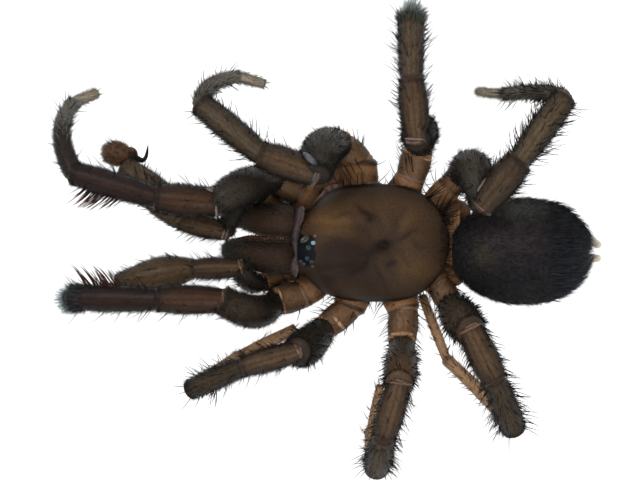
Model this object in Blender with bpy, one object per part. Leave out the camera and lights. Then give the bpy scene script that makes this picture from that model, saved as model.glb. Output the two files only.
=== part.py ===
"""Pacific folding-door spider: a preserved male, life size, with its legs arched and its feet curled under.

The animal faces -Y and lies on z = 0, on flats under its breastplate and abdomen and on the feet that reach
the ground. Lengths below are millimetres, and each finished mesh is scaled to metres.
"""

import math
import random

import bmesh
import bpy
from mathutils import Matrix, Vector
from mathutils.bvhtree import BVHTree

MM = 0.001
GAP = 0.05
SEED = 41

# Head and thorax shield: height of its rim and crown, and what it rests over
RIM_Z = 1.42
UNDERSIDE_Z = 1.34
HEAD_Z = 3.05
THORAX_Z = 2.45
FRONT_Y = -0.98
REAR_Y = 4.36
BODY_X = 0.05
HEAD_LEAN = 0.22
BREAST_HALF_WIDTH = 1.1
BREAST_HALF_LENGTH = 2.15
BREAST_Y = 1.6
BREAST_TOP_Z = 1.29

# Abdomen
ABDOMEN_X = 0.35
ABDOMEN_HALF_WIDTH = 1.9
ABDOMEN_HALF_HEIGHT = 1.78
ABDOMEN_FRONT_Y = 4.44
ABDOMEN_REAR_Y = 9.31
ABDOMEN_Z = 1.66

# Bristles
BRISTLE_RADIUS = 0.06
BRISTLE_SINK = 0.1
BRISTLE_CLEAR = 0.1

UP = Vector((0, 0, 1))

# How each joint of a limb swells along its length: (share of the length, share of the half width)
SWELL = {
    "coxa": ((0, 0.72), (0.35, 0.95), (0.75, 1.0), (1, 0.85)),
    "trochanter": ((0, 0.9), (0.5, 1.0), (1, 0.85)),
    "femur": ((0, 0.62), (0.22, 0.86), (0.5, 1.0), (0.78, 0.95), (1, 0.72)),
    "patella": ((0, 0.78), (0.3, 0.96), (0.7, 1.0), (1, 0.8)),
    "tibia": ((0, 0.8), (0.3, 0.96), (0.7, 1.0), (1, 0.92)),
    "metatarsus": ((0, 0.95), (0.5, 1.0), (1, 0.85)),
    "tarsus": ((0, 0.8), (0.5, 1.0), (1, 0.85)),
    "palp_tibia": ((0, 0.58), (0.25, 0.88), (0.5, 1.0), (0.75, 0.88), (1, 0.55)),
}

# Each leg: its joints from the breastplate outwards as (x, y, z), where "arch" is the top of the femur's bow,
# and the half width of each joint. X and Y follow the pose seen from above.
LEGS = {
    "leg_1_right": dict(
        coxa=((-0.84, 0.21, 0.7), (-1.69, -1.0, 0.95)),
        trochanter=(-2.2, -1.9, 1.3),
        arch=(-2.12, -2.75, 3.6),
        knee=(-1.35, -3.8, 4.1),
        patella=(-1.55, -6.04, 4.1),
        tibia=(-2.42, -8.98, 3.5),
        metatarsus=((-3.85, -9.42, 2.9), (-4.95, -8.98, 2.4)),
        tarsus=(-5.28, -8.2, 2.0),
        widths=(0.46, 0.44, 0.67, 0.52, 0.43, 0.3, 0.19),
    ),
    "leg_2_right": dict(
        coxa=((-0.98, 1.2, 0.7), (-2.95, 1.32, 0.95)),
        trochanter=(-3.48, 0.74, 1.35),
        arch=(-3.3, -0.02, 3.2),
        knee=(-2.4, -0.42, 4.35),
        patella=(-3.08, -2.33, 4.4),
        tibia=(-4.86, -4.46, 3.7),
        metatarsus=((-5.55, -4.1, 3.2), (-5.85, -3.12, 2.9)),
        tarsus=(-5.6, -2.25, 2.6),
        widths=(0.6, 0.5, 0.74, 0.56, 0.48, 0.27, 0.17),
    ),
    "leg_3_right": dict(
        coxa=((-0.98, 2.35, 0.7), (-2.33, 3.0, 0.95)),
        trochanter=(-3.3, 3.28, 1.25),
        arch=(-3.9, 3.33, 2.8),
        knee=(-3.64, 3.18, 4.2),
        patella=(-5.76, 2.98, 4.4),
        tibia=(-7.98, 2.98, 3.35),
        metatarsus=((-8.0, 3.05, 2.1), (-7.45, 3.06, 0.6)),
        tarsus=(-6.1, 3.06, 0.12),
        widths=(0.58, 0.54, 0.6, 0.52, 0.46, 0.25, 0.17),
    ),
    "leg_4_right": dict(
        coxa=((-0.78, 3.45, 0.7), (-1.95, 4.36, 0.95)),
        trochanter=(-2.35, 4.78, 1.3),
        arch=(-2.55, 5.2, 3.0),
        knee=(-1.28, 5.5, 4.2),
        patella=(-2.83, 6.79, 4.3),
        tibia=(-5.08, 8.42, 3.6),
        metatarsus=((-5.3, 7.5, 2.7), (-5.24, 6.29, 1.3)),
        tarsus=(-5.35, 5.4, 0.12),
        widths=(0.54, 0.48, 0.66, 0.59, 0.49, 0.26, 0.16),
    ),
    "leg_1_left": dict(
        coxa=((0.94, 0.21, 0.7), (1.9, -0.92, 0.95)),
        trochanter=(2.15, -1.9, 1.3),
        arch=(2.42, -2.58, 3.2),
        knee=(2.08, -3.72, 3.95),
        patella=(2.05, -6.01, 4.0),
        tibia=(2.0, -9.08, 3.0),
        metatarsus=((2.1, -9.0, 1.8), (2.12, -8.57, 0.45)),
        tarsus=(2.01, -7.29, 0.12),
        widths=(0.5, 0.48, 0.64, 0.52, 0.47, 0.27, 0.17),
    ),
    "leg_2_left": dict(
        coxa=((1.08, 1.2, 0.7), (2.36, 0.8, 0.95)),
        trochanter=(3.0, 0.0, 1.25),
        arch=(3.55, -0.5, 3.1),
        knee=(3.89, -1.03, 4.0),
        patella=(4.43, -2.99, 4.0),
        tibia=(5.26, -4.84, 2.8),
        metatarsus=((4.85, -4.2, 1.8), (4.11, -3.16, 0.5)),
        tarsus=(3.12, -1.15, 0.12),
        widths=(0.56, 0.5, 0.62, 0.45, 0.4, 0.24, 0.17),
    ),
    "leg_3_left": dict(
        coxa=((1.08, 2.31, 0.7), (2.44, 2.74, 0.95)),
        trochanter=(3.18, 2.67, 1.25),
        arch=(4.1, 2.63, 3.1),
        knee=(5.0, 2.56, 4.1),
        patella=(6.95, 2.02, 3.9),
        tibia=(8.12, 1.74, 2.3),
        metatarsus=((7.65, 1.6, 1.3), (6.75, 1.56, 0.4)),
        tarsus=(5.15, 1.9, 0.12),
        widths=(0.55, 0.5, 0.6, 0.5, 0.48, 0.25, 0.17),
    ),
    "leg_4_left": dict(
        coxa=((0.88, 3.48, 0.7), (1.58, 4.02, 0.95)),
        trochanter=(2.3, 4.45, 1.25),
        arch=(2.7, 4.72, 3.0),
        knee=(3.1, 5.06, 4.0),
        patella=(4.92, 5.95, 4.0),
        tibia=(6.68, 6.64, 2.5),
        metatarsus=((5.65, 5.75, 1.5), (4.21, 4.27, 0.5)),
        tarsus=(1.95, 3.4, 0.12),
        widths=(0.5, 0.46, 0.66, 0.54, 0.48, 0.25, 0.18),
    ),
}

# Each palp the same way, its swollen tibia with a bow of its own, then the cupped tip that carries the bulb,
# and which way the flat faces where tibia and tip meet
PALPS = {
    "palp_right": dict(
        coxa=((-0.37, -0.42, 0.5), (-1.1, -1.62, 0.5)),
        trochanter=(-1.62, -2.3, 1.0),
        arch=(-1.6, -3.0, 2.22),
        knee=(-0.34, -3.61, 2.95),
        patella=(-0.73, -5.23, 2.75),
        belly=(-1.69, -6.12, 2.55),
        tibia=(-2.64, -7.15, 2.3),
        cup=(-3.12, -7.5, 2.2),
        bulb=(-3.1, -7.0, 2.15),
        spur=((-2.98, -6.8, 2.15), (-3.0, -6.5, 2.15), (-3.47, -6.36, 2.2)),
        wall=(-0.98, -0.2, 0),
    ),
    "palp_left": dict(
        coxa=((0.48, -0.42, 0.5), (1.2, -1.62, 0.5)),
        trochanter=(1.48, -2.3, 1.0),
        arch=(1.42, -2.75, 2.1),
        knee=(0.93, -3.1, 2.62),
        patella=(0.98, -4.8, 2.4),
        belly=(1.15, -5.94, 2.2),
        tibia=(1.51, -7.35, 1.9),
        cup=(1.97, -7.72, 1.72),
        bulb=(1.95, -7.6, 1.42),
        spur=((1.9, -7.45, 1.22), (1.8, -7.22, 1.15), (1.5, -7.0, 1.2)),
        wall=(0.75, -0.62, -0.2),
    ),
}
PALP_WIDTHS = (0.36, 0.33, 0.34, 0.34, 0.6)

# Eyes: place on the head's front from its midline, and radius. They sit on a low mound.
MOUND = Vector((0.32, -0.68))
EYES = {
    "eye_front_side_right": (-0.05, -0.79, 0.12),
    "eye_front_side_left": (0.74, -0.87, 0.12),
    "eye_front_middle_right": (0.22, -0.66, 0.09),
    "eye_front_middle_left": (0.59, -0.7, 0.09),
    "eye_back_middle_right": (0.05, -0.49, 0.09),
    "eye_back_middle_left": (0.71, -0.55, 0.09),
    "eye_back_side_right": (-0.2, -0.42, 0.08),
    "eye_back_side_left": (0.87, -0.51, 0.08),
}

for old in list(bpy.data.objects):
    bpy.data.objects.remove(old, do_unlink=True)

scene = bpy.context.scene


def material(name, colour, roughness):
    finish = bpy.data.materials.new(name)
    finish.use_nodes = True
    shader = finish.node_tree.nodes["Principled BSDF"]
    shader.inputs["Base Color"].default_value = (*colour, 1)
    shader.inputs["Roughness"].default_value = roughness
    shader.inputs["Metallic"].default_value = 0
    return finish


SHIELD = material("dark brown cuticle", (0.045, 0.024, 0.012), 0.4)
LEG_BROWN = material("brown leg cuticle", (0.075, 0.034, 0.015), 0.45)
FEMUR_BLACK = material("black hairy cuticle", (0.018, 0.016, 0.013), 0.6)
TAN = material("tan cuticle", (0.25, 0.16, 0.09), 0.5)
ORANGE = material("orange brown cuticle", (0.2, 0.08, 0.025), 0.45)
VELVET = material("black velvet skin", (0.012, 0.01, 0.012), 0.8)
MEMBRANE = material("pale membrane", (0.34, 0.22, 0.19), 0.6)
GLASSY = material("eye lens", (0.12, 0.12, 0.12), 0.1)
FANG_BLACK = material("fang", (0.02, 0.008, 0.005), 0.2)


def closed(shape):
    """The mesh object of a bmesh, with its faces pointing out"""
    bmesh.ops.recalc_face_normals(shape, faces=shape.faces)
    mesh = bpy.data.meshes.new("piece")
    shape.to_mesh(mesh)
    shape.free()
    piece = bpy.data.objects.new("piece", mesh)
    scene.collection.objects.link(piece)
    return piece


def skin_rings(shape, rings):
    """Quads between neighbouring rings of equal count, and a flat face on each end"""
    for low, high in zip(rings, rings[1:]):
        count = len(low)
        for i in range(count):
            shape.faces.new((low[i], low[(i + 1) % count], high[(i + 1) % count], high[i]))
    shape.faces.new(rings[0][::-1])
    shape.faces.new(rings[-1])


def frame_at(along, side):
    across = (side - along * side.dot(along)).normalized()
    return across, across.cross(along).normalized()


def tube(route, widths, heights, side, sides=8, ends=(0.55, 0.55)):
    """A closed limb joint: elliptical rings along a route, with a short dome on each end"""
    shape = bmesh.new()
    count = len(route)
    rings = []
    sections = []
    for i in range(count):
        along = (route[min(i + 1, count - 1)] - route[max(i - 1, 0)]).normalized()
        sections.append((route[i], along, widths[i], heights[i]))
    first, last = sections[0], sections[-1]
    reach = min(first[2], first[3]) * ends[0]
    if ends[0]:
        sections.insert(0, (first[0] - first[1] * reach, first[1], first[2] * 0.7, first[3] * 0.7))
    reach = min(last[2], last[3]) * ends[1]
    if ends[1]:
        sections.append((last[0] + last[1] * reach, last[1], last[2] * 0.7, last[3] * 0.7))
    for centre, along, width, height in sections:
        across, over = frame_at(along, side)
        ring = []
        for k in range(sides):
            turn = math.tau * (k + 0.5) / sides
            ring.append(shape.verts.new(centre + across * width * math.cos(turn) + over * height * math.sin(turn)))
        rings.append(ring)
    skin_rings(shape, rings)
    return closed(shape)


def bow(start, middle, end, share):
    """A point on the smooth curve that leaves start, passes middle half way and reaches end"""
    pull = middle * 2 - (start + end) / 2
    rest = 1 - share
    return start * rest * rest + pull * 2 * rest * share + end * share * share


def joint_piece(kind, start, end, half_width, middle=None, depth=1.0, ends=(0.55, 0.55), sides=8):
    """One joint of a limb, and the rings that its bristles stand on"""
    start, end = Vector(start), Vector(end)
    middle = Vector(middle) if middle is not None else (start + end) / 2
    route = [bow(start, middle, end, share) for share, _ in SWELL[kind]]
    widths = [half_width * part for _, part in SWELL[kind]]
    heights = [width * depth for width in widths]
    plan = Vector((end.x - start.x, end.y - start.y, 0))
    side = plan.normalized().cross(UP)
    piece = tube(route, widths, heights, side, sides=sides, ends=ends)
    return dict(piece=piece, route=route, widths=widths, heights=heights, side=side, kind=kind)


def keep_side(piece, point, facing):
    """Cuts a piece on a plane and keeps what lies behind it, with the cut closed by a flat face"""
    shape = bmesh.new()
    shape.from_mesh(piece.data)
    cut = bmesh.ops.bisect_plane(
        shape,
        geom=shape.verts[:] + shape.edges[:] + shape.faces[:],
        plane_co=point,
        plane_no=facing,
        dist=1e-5,
        clear_outer=True,
    )
    edges = [e for e in cut["geom_cut"] if isinstance(e, bmesh.types.BMEdge)]
    if edges:
        bmesh.ops.holes_fill(shape, edges=edges, sides=0)
    bmesh.ops.recalc_face_normals(shape, faces=shape.faces)
    shape.to_mesh(piece.data)
    shape.free()


def parted(before, after, point, along_before, along_after):
    """Cuts two joints apart at the point where they meet, face to face"""
    facing = (along_before.normalized() + along_after.normalized()).normalized()
    point = Vector(point)
    keep_side(before["piece"], point - facing * GAP / 2, facing)
    keep_side(after["piece"], point + facing * GAP / 2, -facing)


def heading(joint, at_end):
    route = joint["route"]
    return (route[-1] - route[-2]) if at_end else (route[1] - route[0])


def trimmed(piece, neighbour, gap=GAP):
    """Cuts from a piece all that lies in its neighbour, or nearer to it than the gap"""
    grown = neighbour.copy()
    grown.data = neighbour.data.copy()
    scene.collection.objects.link(grown)
    for vertex in grown.data.vertices:
        vertex.co += vertex.normal * gap
    cut = piece.modifiers.new("trim", "BOOLEAN")
    cut.operation = "DIFFERENCE"
    cut.object = grown
    cut.solver = "EXACT"
    bake(piece)
    bpy.data.objects.remove(grown, do_unlink=True)


def bake(piece):
    """Applies what modifiers a piece has, and keeps its largest closed surface"""
    view = bpy.context.evaluated_depsgraph_get()
    mesh = bpy.data.meshes.new_from_object(piece.evaluated_get(view))
    piece.modifiers.clear()
    piece.data = mesh
    shape = bmesh.new()
    shape.from_mesh(mesh)
    bmesh.ops.remove_doubles(shape, verts=shape.verts, dist=1e-5)
    bmesh.ops.dissolve_degenerate(shape, edges=shape.edges, dist=1e-5)
    unseen = set(shape.faces)
    surfaces = []
    while unseen:
        todo = [unseen.pop()]
        surface = list(todo)
        while todo:
            for edge in todo.pop().edges:
                for face in edge.link_faces:
                    if face in unseen:
                        unseen.remove(face)
                        todo.append(face)
                        surface.append(face)
        surfaces.append(surface)
    surfaces.sort(key=lambda faces: sum(face.calc_area() for face in faces))
    scraps = [face for surface in surfaces[:-1] for face in surface]
    bmesh.ops.delete(shape, geom=scraps, context="FACES")
    shape.to_mesh(mesh)
    shape.free()


def fused(pieces):
    """One closed body from overlapping pieces, by a single union"""
    whole, rest = pieces[0], pieces[1:]
    if rest:
        group = bpy.data.collections.new("operands")
        scene.collection.children.link(group)
        for piece in rest:
            scene.collection.objects.unlink(piece)
            group.objects.link(piece)
        join = whole.modifiers.new("join", "BOOLEAN")
        join.operation = "UNION"
        join.operand_type = "COLLECTION"
        join.collection = group
        join.solver = "EXACT"
        bake(whole)
        for piece in rest:
            bpy.data.objects.remove(piece, do_unlink=True)
        bpy.data.collections.remove(group)
    return whole


def ball(centre, radii, columns=10, rows=6, turn=None):
    shape = bmesh.new()
    bmesh.ops.create_uvsphere(shape, u_segments=columns, v_segments=rows, radius=1)
    place = Matrix.Translation(centre) @ (turn or Matrix.Identity(4)) @ Matrix.Diagonal((*radii, 1))
    bmesh.ops.transform(shape, matrix=place, verts=shape.verts)
    return closed(shape)


def spike(root, middle, tip, radius):
    """A bent, tapered bristle of four sides that starts inside what carries it"""
    shape = bmesh.new()
    rings = []
    side = (tip - root).cross(UP)
    if side.length < 0.05:
        side = Vector((1, 0, 0))
    side.normalize()
    start = root - (middle - root).normalized() * BRISTLE_SINK
    for centre, along, size in ((start, middle - root, 1.0), (middle, tip - root, 0.72)):
        across, over = frame_at(along.normalized(), side)
        ring = []
        for k in range(4):
            turn = math.tau * k / 4
            ring.append(shape.verts.new(centre + (across * math.cos(turn) + over * math.sin(turn)) * radius * size))
        rings.append(ring)
    for i in range(4):
        shape.faces.new((rings[0][i], rings[0][(i + 1) % 4], rings[1][(i + 1) % 4], rings[1][i]))
    point = shape.verts.new(tip)
    for i in range(4):
        shape.faces.new((rings[1][i], rings[1][(i + 1) % 4], point))
    shape.faces.new(rings[0][::-1])
    return closed(shape)


# Head and thorax shield
def shield_half_width(y):
    """Half the shield's breadth at a distance along the body: blunt head, round thorax, drawn-in rear"""
    share = (y - FRONT_Y) / (REAR_Y - FRONT_Y)
    wide = 2.1 * (1 - abs((share - 0.52) / 0.52) ** 3.1) ** 0.5 if share < 0.52 else 2.1
    if share >= 0.52:
        wide = 2.1 * (1 - abs((share - 0.52) / 0.485) ** 2.9) ** 0.62
    return max(wide, 1.13) if share < 0.2 else wide


def shield_top(y):
    """Crown height along the body: a raised head, a lower thorax with a pit, a falling rear"""
    share = (y - FRONT_Y) / (REAR_Y - FRONT_Y)
    head = HEAD_Z - 0.3 * max(0, (0.12 - share) / 0.12) ** 2
    fall = min(1, max(0, (share - 0.22) / 0.33))
    crown = head + (THORAX_Z - HEAD_Z) * (fall * fall * (3 - 2 * fall))
    rear = max(0, (share - 0.68) / 0.32)
    return crown - (THORAX_Z - RIM_Z - 0.1) * rear ** 2


def shield_point(y, across):
    """A point of the shield's outside; across runs from -1 at the right rim to 1 at the left"""
    share = (y - FRONT_Y) / (REAR_Y - FRONT_Y)
    bend = math.sin(across * math.pi / 2)
    lean = HEAD_LEAN * (1 - share) * (1 - bend * bend)
    x = BODY_X + shield_half_width(y) * bend + lean
    rise = (1 - abs(bend) ** 2.4) ** 0.62
    rim = RIM_Z + 0.45 * max(0, 0.3 - share)
    z = rim + (shield_top(y) - rim) * rise
    mound = math.exp(-((x - MOUND.x) / 0.5) ** 2 - ((y - MOUND.y) / 0.3) ** 2)
    pit = math.exp(-((x - 0.12) / 0.16) ** 2 - ((y - 1.98) / 0.25) ** 2)
    groove = 0
    if share < 0.5:
        seam = BODY_X + lean + (0.95 - 0.55 * share) * (1 if x > BODY_X + lean else -1)
        groove = 0.1 * math.exp(-((x - seam) / 0.18) ** 2)
    skew = 0.18 * max(0, -bend) * max(0, 0.3 - share) / 0.3
    return Vector((x, y + skew, z + 0.12 * mound - 0.2 * pit - groove))


def shield():
    stations = (0, 0.035, 0.08, 0.14, 0.21, 0.3, 0.4, 0.48, 0.55, 0.62, 0.7, 0.79, 0.88, 0.95, 0.985)
    arch = 20
    shape = bmesh.new()
    rings = []
    for share in stations:
        y = FRONT_Y + (REAR_Y - FRONT_Y) * share
        ring = [shape.verts.new(shield_point(y, -1 + 2 * k / arch)) for k in range(arch + 1)]
        for across in (0.86, 0.3, -0.3, -0.86):
            edge = shield_point(y, 1 if across > 0 else -1)
            x = BODY_X + (edge.x - BODY_X) * abs(across)
            ring.append(shape.verts.new((x, y, UNDERSIDE_Z)))
        rings.append(ring)
    skin_rings(shape, rings)
    return closed(shape)


def breastplate():
    """Breastplate with the soft wall above it that joins the shield: an upright oval block with a flat foot"""
    shape = bmesh.new()
    rings = []
    for z, size in ((0.0, 0.8), (0.12, 0.95), (0.5, 1.0), (BREAST_TOP_Z, 1.0)):
        ring = []
        for k in range(24):
            turn = math.tau * k / 24
            x = BODY_X + BREAST_HALF_WIDTH * size * math.cos(turn)
            y = BREAST_Y + BREAST_HALF_LENGTH * size * math.sin(turn)
            ring.append(shape.verts.new((x, y, z)))
        rings.append(ring)
    skin_rings(shape, rings)
    return closed(shape)


def abdomen():
    """Egg-shaped, narrower in front, flattened where it lies"""
    stations, sides = 13, 24
    shape = bmesh.new()
    rings = []
    for i in range(stations):
        turn = math.pi * (i + 0.35) / (stations - 0.3)
        share = (1 - math.cos(turn)) / 2
        y = ABDOMEN_FRONT_Y + (ABDOMEN_REAR_Y - ABDOMEN_FRONT_Y) * share
        size = math.sin(turn) ** 0.86 * (0.92 + 0.1 * share)
        rise = 0.06 * math.sin(math.pi * share)
        ring = []
        for k in range(sides):
            spin = math.tau * k / sides
            x = ABDOMEN_X + ABDOMEN_HALF_WIDTH * size * math.cos(spin)
            z = ABDOMEN_Z + rise + ABDOMEN_HALF_HEIGHT * size * math.sin(spin)
            ring.append(shape.verts.new((x, y, z)))
        rings.append(ring)
    skin_rings(shape, rings)
    body = closed(shape)
    keep_side(body, Vector((0, 0, 0)), Vector((0, 0, -1)))
    return body


def chelicera(centres):
    """One jaw: a stout basal joint with a blunt, downturned front"""
    shape = bmesh.new()
    rings = []
    for x, y, half, low, high in centres:
        ring = []
        for k in range(12):
            turn = math.tau * k / 12
            z = (low + high) / 2 + (high - low) / 2 * math.sin(turn)
            ring.append(shape.verts.new((x + half * math.cos(turn), y, z)))
        rings.append(ring)
    skin_rings(shape, rings)
    return closed(shape)


nodes = {}
finishes = {}


def add_node(name, pieces, finish):
    nodes[name] = pieces
    finishes[name] = finish


breast = breastplate()
body_shield = shield()
belly = abdomen()
add_node("carapace", [body_shield], SHIELD)
add_node("breastplate", [breast], ORANGE)
add_node("abdomen", [belly], VELVET)

pedicel_route = [Vector((0.12, 3.5, 0.95)), Vector((0.1, 4.15, 0.98)), Vector((0.05, 4.75, 1.05))]
pedicel = tube(pedicel_route, (0.45, 0.58, 0.98), (0.26, 0.26, 0.32), Vector((1, 0, 0)), ends=(0.3, 0.3))
trimmed(pedicel, breast)
trimmed(pedicel, belly)
add_node("pedicel", [pedicel], ORANGE)

# The soft collar between the shield's front and the jaws
collar_shape = bmesh.new()
collar_rings = []
for share in (0, 0.25, 0.5, 0.75, 1):
    x = -1.02 + 2.2 * share
    back = FRONT_Y - GAP + 0.18 * max(0, 0.35 - share) / 0.35
    front = -1.24 - 0.06 * math.sin(math.pi * share)
    high = 2.55 + 0.18 * math.sin(math.pi * share)
    corners = ((back, 1.1), (back, high), (front, high - 0.08), (front, 1.1))
    collar_rings.append([collar_shape.verts.new((x, y, z)) for y, z in corners])
skin_rings(collar_shape, collar_rings)
collar = closed(collar_shape)
trimmed(collar, body_shield)
add_node("jaw_membrane", [collar], MEMBRANE)

# Jaws, as (x, y, half width, lowest, highest) from the base to the blunt tip
JAWS = {
    "right": ((-0.69, -1.35, 0.48, 1.05, 2.55), (-0.7, -1.6, 0.58, 0.98, 2.78), (-0.78, -2.31, 0.58, 0.95, 2.6),
              (-0.93, -2.92, 0.5, 0.9, 2.2), (-1.0, -3.3, 0.38, 0.95, 1.85), (-1.02, -3.5, 0.2, 1.1, 1.55)),
    "left": ((0.6, -1.35, 0.48, 1.05, 2.55), (0.58, -1.6, 0.58, 0.98, 2.78), (0.52, -2.31, 0.58, 0.95, 2.6),
             (0.41, -2.92, 0.5, 0.9, 2.3), (0.28, -3.38, 0.4, 0.95, 2.05), (0.25, -3.64, 0.22, 1.15, 1.7)),
}
for hand, centres in JAWS.items():
    jaw = chelicera(centres)
    trimmed(jaw, collar)
    add_node(f"chelicera_{hand}", [jaw], SHIELD)
    x = centres[-2][0]
    root = Vector((x, -3.28, 0.78))
    fang_route = [root, Vector((x, -3.1, 0.52)), Vector((x + 0.03, -2.75, 0.36)), Vector((x + 0.06, -2.3, 0.3))]
    fang = tube(fang_route, (0.17, 0.15, 0.1, 0.03), (0.17, 0.15, 0.1, 0.03), Vector((1, 0, 0)), ends=(0.5, 0.3))
    trimmed(fang, jaw)
    add_node(f"fang_{hand}", [fang], FANG_BLACK)

# Spinnerets
for hand, route in (
    ("right", ((0.0, 8.75, 0.85), (-0.02, 9.3, 1.05), (0.16, 9.72, 1.3))),
    ("left", ((0.6, 8.8, 0.85), (0.6, 9.35, 1.05), (0.62, 9.72, 1.25))),
):
    points = [Vector(p) for p in route]
    spinneret = tube(points, (0.16, 0.15, 0.1), (0.16, 0.15, 0.1), Vector((1, 0, 0)), ends=(0.3, 0.6))
    trimmed(spinneret, belly)
    add_node(f"spinneret_{hand}", [spinneret], TAN)

# Limbs: each is three nodes, parted at the knee and at the wrist
limb_joints = {}


def limb_nodes(name, base, shin, foot, tip):
    """Three nodes of a limb: coxa to femur, patella with tibia, and what follows the wrist"""
    trimmed(base[0]["piece"], breast)
    for part, joints, finish in (("femur", base, FEMUR_BLACK), ("tibia", shin, LEG_BROWN), (tip, foot, TAN)):
        node = f"{name}_{part}"
        limb_joints[node] = joints
        add_node(node, [joint["piece"] for joint in joints], finish)


for name, leg in LEGS.items():
    sizes = leg["widths"]
    hip, coxa_end = (Vector(p) for p in leg["coxa"])
    inner = hip - (coxa_end - hip).normalized() * 0.25
    knee = leg["knee"]
    wrist = leg["tibia"]
    bend, ankle = leg["metatarsus"]
    coxa = joint_piece("coxa", inner, coxa_end, sizes[0], depth=0.85)
    trochanter = joint_piece("trochanter", coxa_end, leg["trochanter"], sizes[1], depth=0.9, ends=(0.4, 0.6))
    femur = joint_piece("femur", leg["trochanter"], knee, sizes[2], middle=leg["arch"], depth=1.0)
    patella = joint_piece("patella", knee, leg["patella"], sizes[3], depth=0.95)
    tibia = joint_piece("tibia", leg["patella"], wrist, sizes[4], depth=0.95, ends=(0.55, 0.7))
    metatarsus = joint_piece("metatarsus", wrist, ankle, sizes[5], middle=bend, ends=(0.55, 0.7))
    tarsus = joint_piece("tarsus", ankle, leg["tarsus"], sizes[6], ends=(0.7, 0.5))
    parted(femur, patella, knee, heading(femur, True), heading(patella, False))
    parted(tibia, metatarsus, wrist, heading(tibia, True), heading(metatarsus, False))
    limb_nodes(name, [coxa, trochanter, femur], [patella, tibia], [metatarsus, tarsus], "tarsus")

for name, palp in PALPS.items():
    hip, coxa_end = (Vector(p) for p in palp["coxa"])
    inner = hip - (coxa_end - hip).normalized() * 0.25
    knee = palp["knee"]
    wrist = Vector(palp["tibia"])
    coxa = joint_piece("coxa", inner, coxa_end, PALP_WIDTHS[0], depth=1.0)
    trochanter = joint_piece("trochanter", coxa_end, palp["trochanter"], PALP_WIDTHS[1], ends=(0.4, 0.6))
    femur = joint_piece("femur", palp["trochanter"], knee, PALP_WIDTHS[2], middle=palp["arch"], depth=1.0)
    patella = joint_piece("patella", knee, palp["patella"], PALP_WIDTHS[3])
    tibia = joint_piece("palp_tibia", palp["patella"], wrist, PALP_WIDTHS[4], middle=palp["belly"], depth=0.95)
    parted(femur, patella, knee, heading(femur, True), heading(patella, False))
    cup_way = (Vector(palp["cup"]) - wrist).normalized()
    cup_turn = cup_way.to_track_quat("Y", "Z").to_matrix().to_4x4()
    cup = ball(Vector(palp["cup"]), (0.33, 0.46, 0.3), turn=cup_turn)
    bulb = ball(Vector(palp["bulb"]), (0.28, 0.3, 0.26), columns=8, rows=5)
    root, middle, tip = (Vector(p) for p in palp["spur"])
    spur = tube([root, middle, tip], (0.12, 0.09, 0.03), (0.12, 0.09, 0.03), UP, sides=6, ends=(0.5, 0.3))
    facing = Vector(palp["wall"]).normalized()
    wall = wrist + facing * 0.12
    keep_side(tibia["piece"], wall - facing * GAP / 2, facing)
    for piece in (cup, bulb, spur):
        keep_side(piece, wall + facing * GAP / 2, -facing)
    limb_nodes(name, [coxa, trochanter, femur], [patella, tibia], [], "bulb")
    add_node(f"{name}_bulb", [cup, bulb, spur], LEG_BROWN)

# Eyes, each in a pit of the shield
for name, (x, y, radius) in EYES.items():
    nearest = min((shield_point(y, -1 + k / 100) for k in range(201)), key=lambda p: abs(p.x - x))
    centre = Vector((x, y, nearest.z - radius * 0.1))
    eye = ball(centre, (radius, radius, radius), columns=8, rows=6)
    trimmed(body_shield, eye, gap=0.02)
    add_node(name, [eye], GLASSY)

# Bristles: seeded, standing on the joints they grow from and bent towards the limb's tip. One that would come
# too near to another node, to another bristle or to the ground is left out.
chance = random.Random(SEED)
walls = {}
for name, pieces in nodes.items():
    trees = []
    for piece in pieces:
        shape = bmesh.new()
        shape.from_mesh(piece.data)
        trees.append(BVHTree.FromBMesh(shape))
        shape.free()
    walls[name] = trees
grown_bristles = []


def is_clear(node, points):
    for name, trees in walls.items():
        if name == node:
            continue
        for tree in trees:
            for point in points:
                if tree.find_nearest(point, BRISTLE_CLEAR)[0] is not None:
                    return False
    for point in points:
        if point.z < BRISTLE_CLEAR:
            return False
        for others in grown_bristles:
            if min((point - other).length for other in others) < BRISTLE_CLEAR * 1.3:
                return False
    return True


def bristle(node, joint, share, turn, length, lean, radius=BRISTLE_RADIUS):
    route = joint["route"]
    place = share * (len(route) - 1)
    i = min(int(place), len(route) - 2)
    part = place - i
    along = (route[i + 1] - route[i]).normalized()
    across, over = frame_at(along, joint["side"])
    width = joint["widths"][i] * (1 - part) + joint["widths"][i + 1] * part
    height = joint["heights"][i] * (1 - part) + joint["heights"][i + 1] * part
    out = across * math.cos(turn) + over * math.sin(turn)
    foot = route[i].lerp(route[i + 1], part)
    root = foot + (across * math.cos(turn) * width + over * math.sin(turn) * height) * 0.93
    aim = (out * (1 - lean) + along * lean).normalized()
    middle = root + aim * length * 0.5
    tip = middle + (aim + along * 0.25).normalized() * length * 0.5
    points = [root.lerp(middle, k / 4) for k in range(1, 5)] + [middle.lerp(tip, k / 4) for k in range(1, 5)]
    if not is_clear(node, points):
        return
    grown_bristles.append(points)
    nodes[node].append(spike(root, middle, tip, radius))


# For each joint: how many bristles, and their shortest and longest length
BRISTLES = {
    "coxa": (3, 0.45, 0.8),
    "trochanter": (2, 0.35, 0.6),
    "femur": (5, 0.3, 0.5),
    "patella": (6, 0.3, 0.55),
    "tibia": (9, 0.35, 0.75),
    "metatarsus": (7, 0.35, 0.65),
    "palp_tibia": (4, 0.3, 0.5),
}


def grow(node, joint, count, shortest, longest):
    for k in range(count):
        share = 0.12 + 0.8 * (k + chance.random()) / count
        flank = math.pi * (k % 2)
        turn = flank + (-1) ** (k % 2) * chance.uniform(-0.15, 1.4)
        length = chance.uniform(shortest, longest)
        bristle(node, joint, share, turn, length, chance.uniform(0.35, 0.6))


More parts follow.
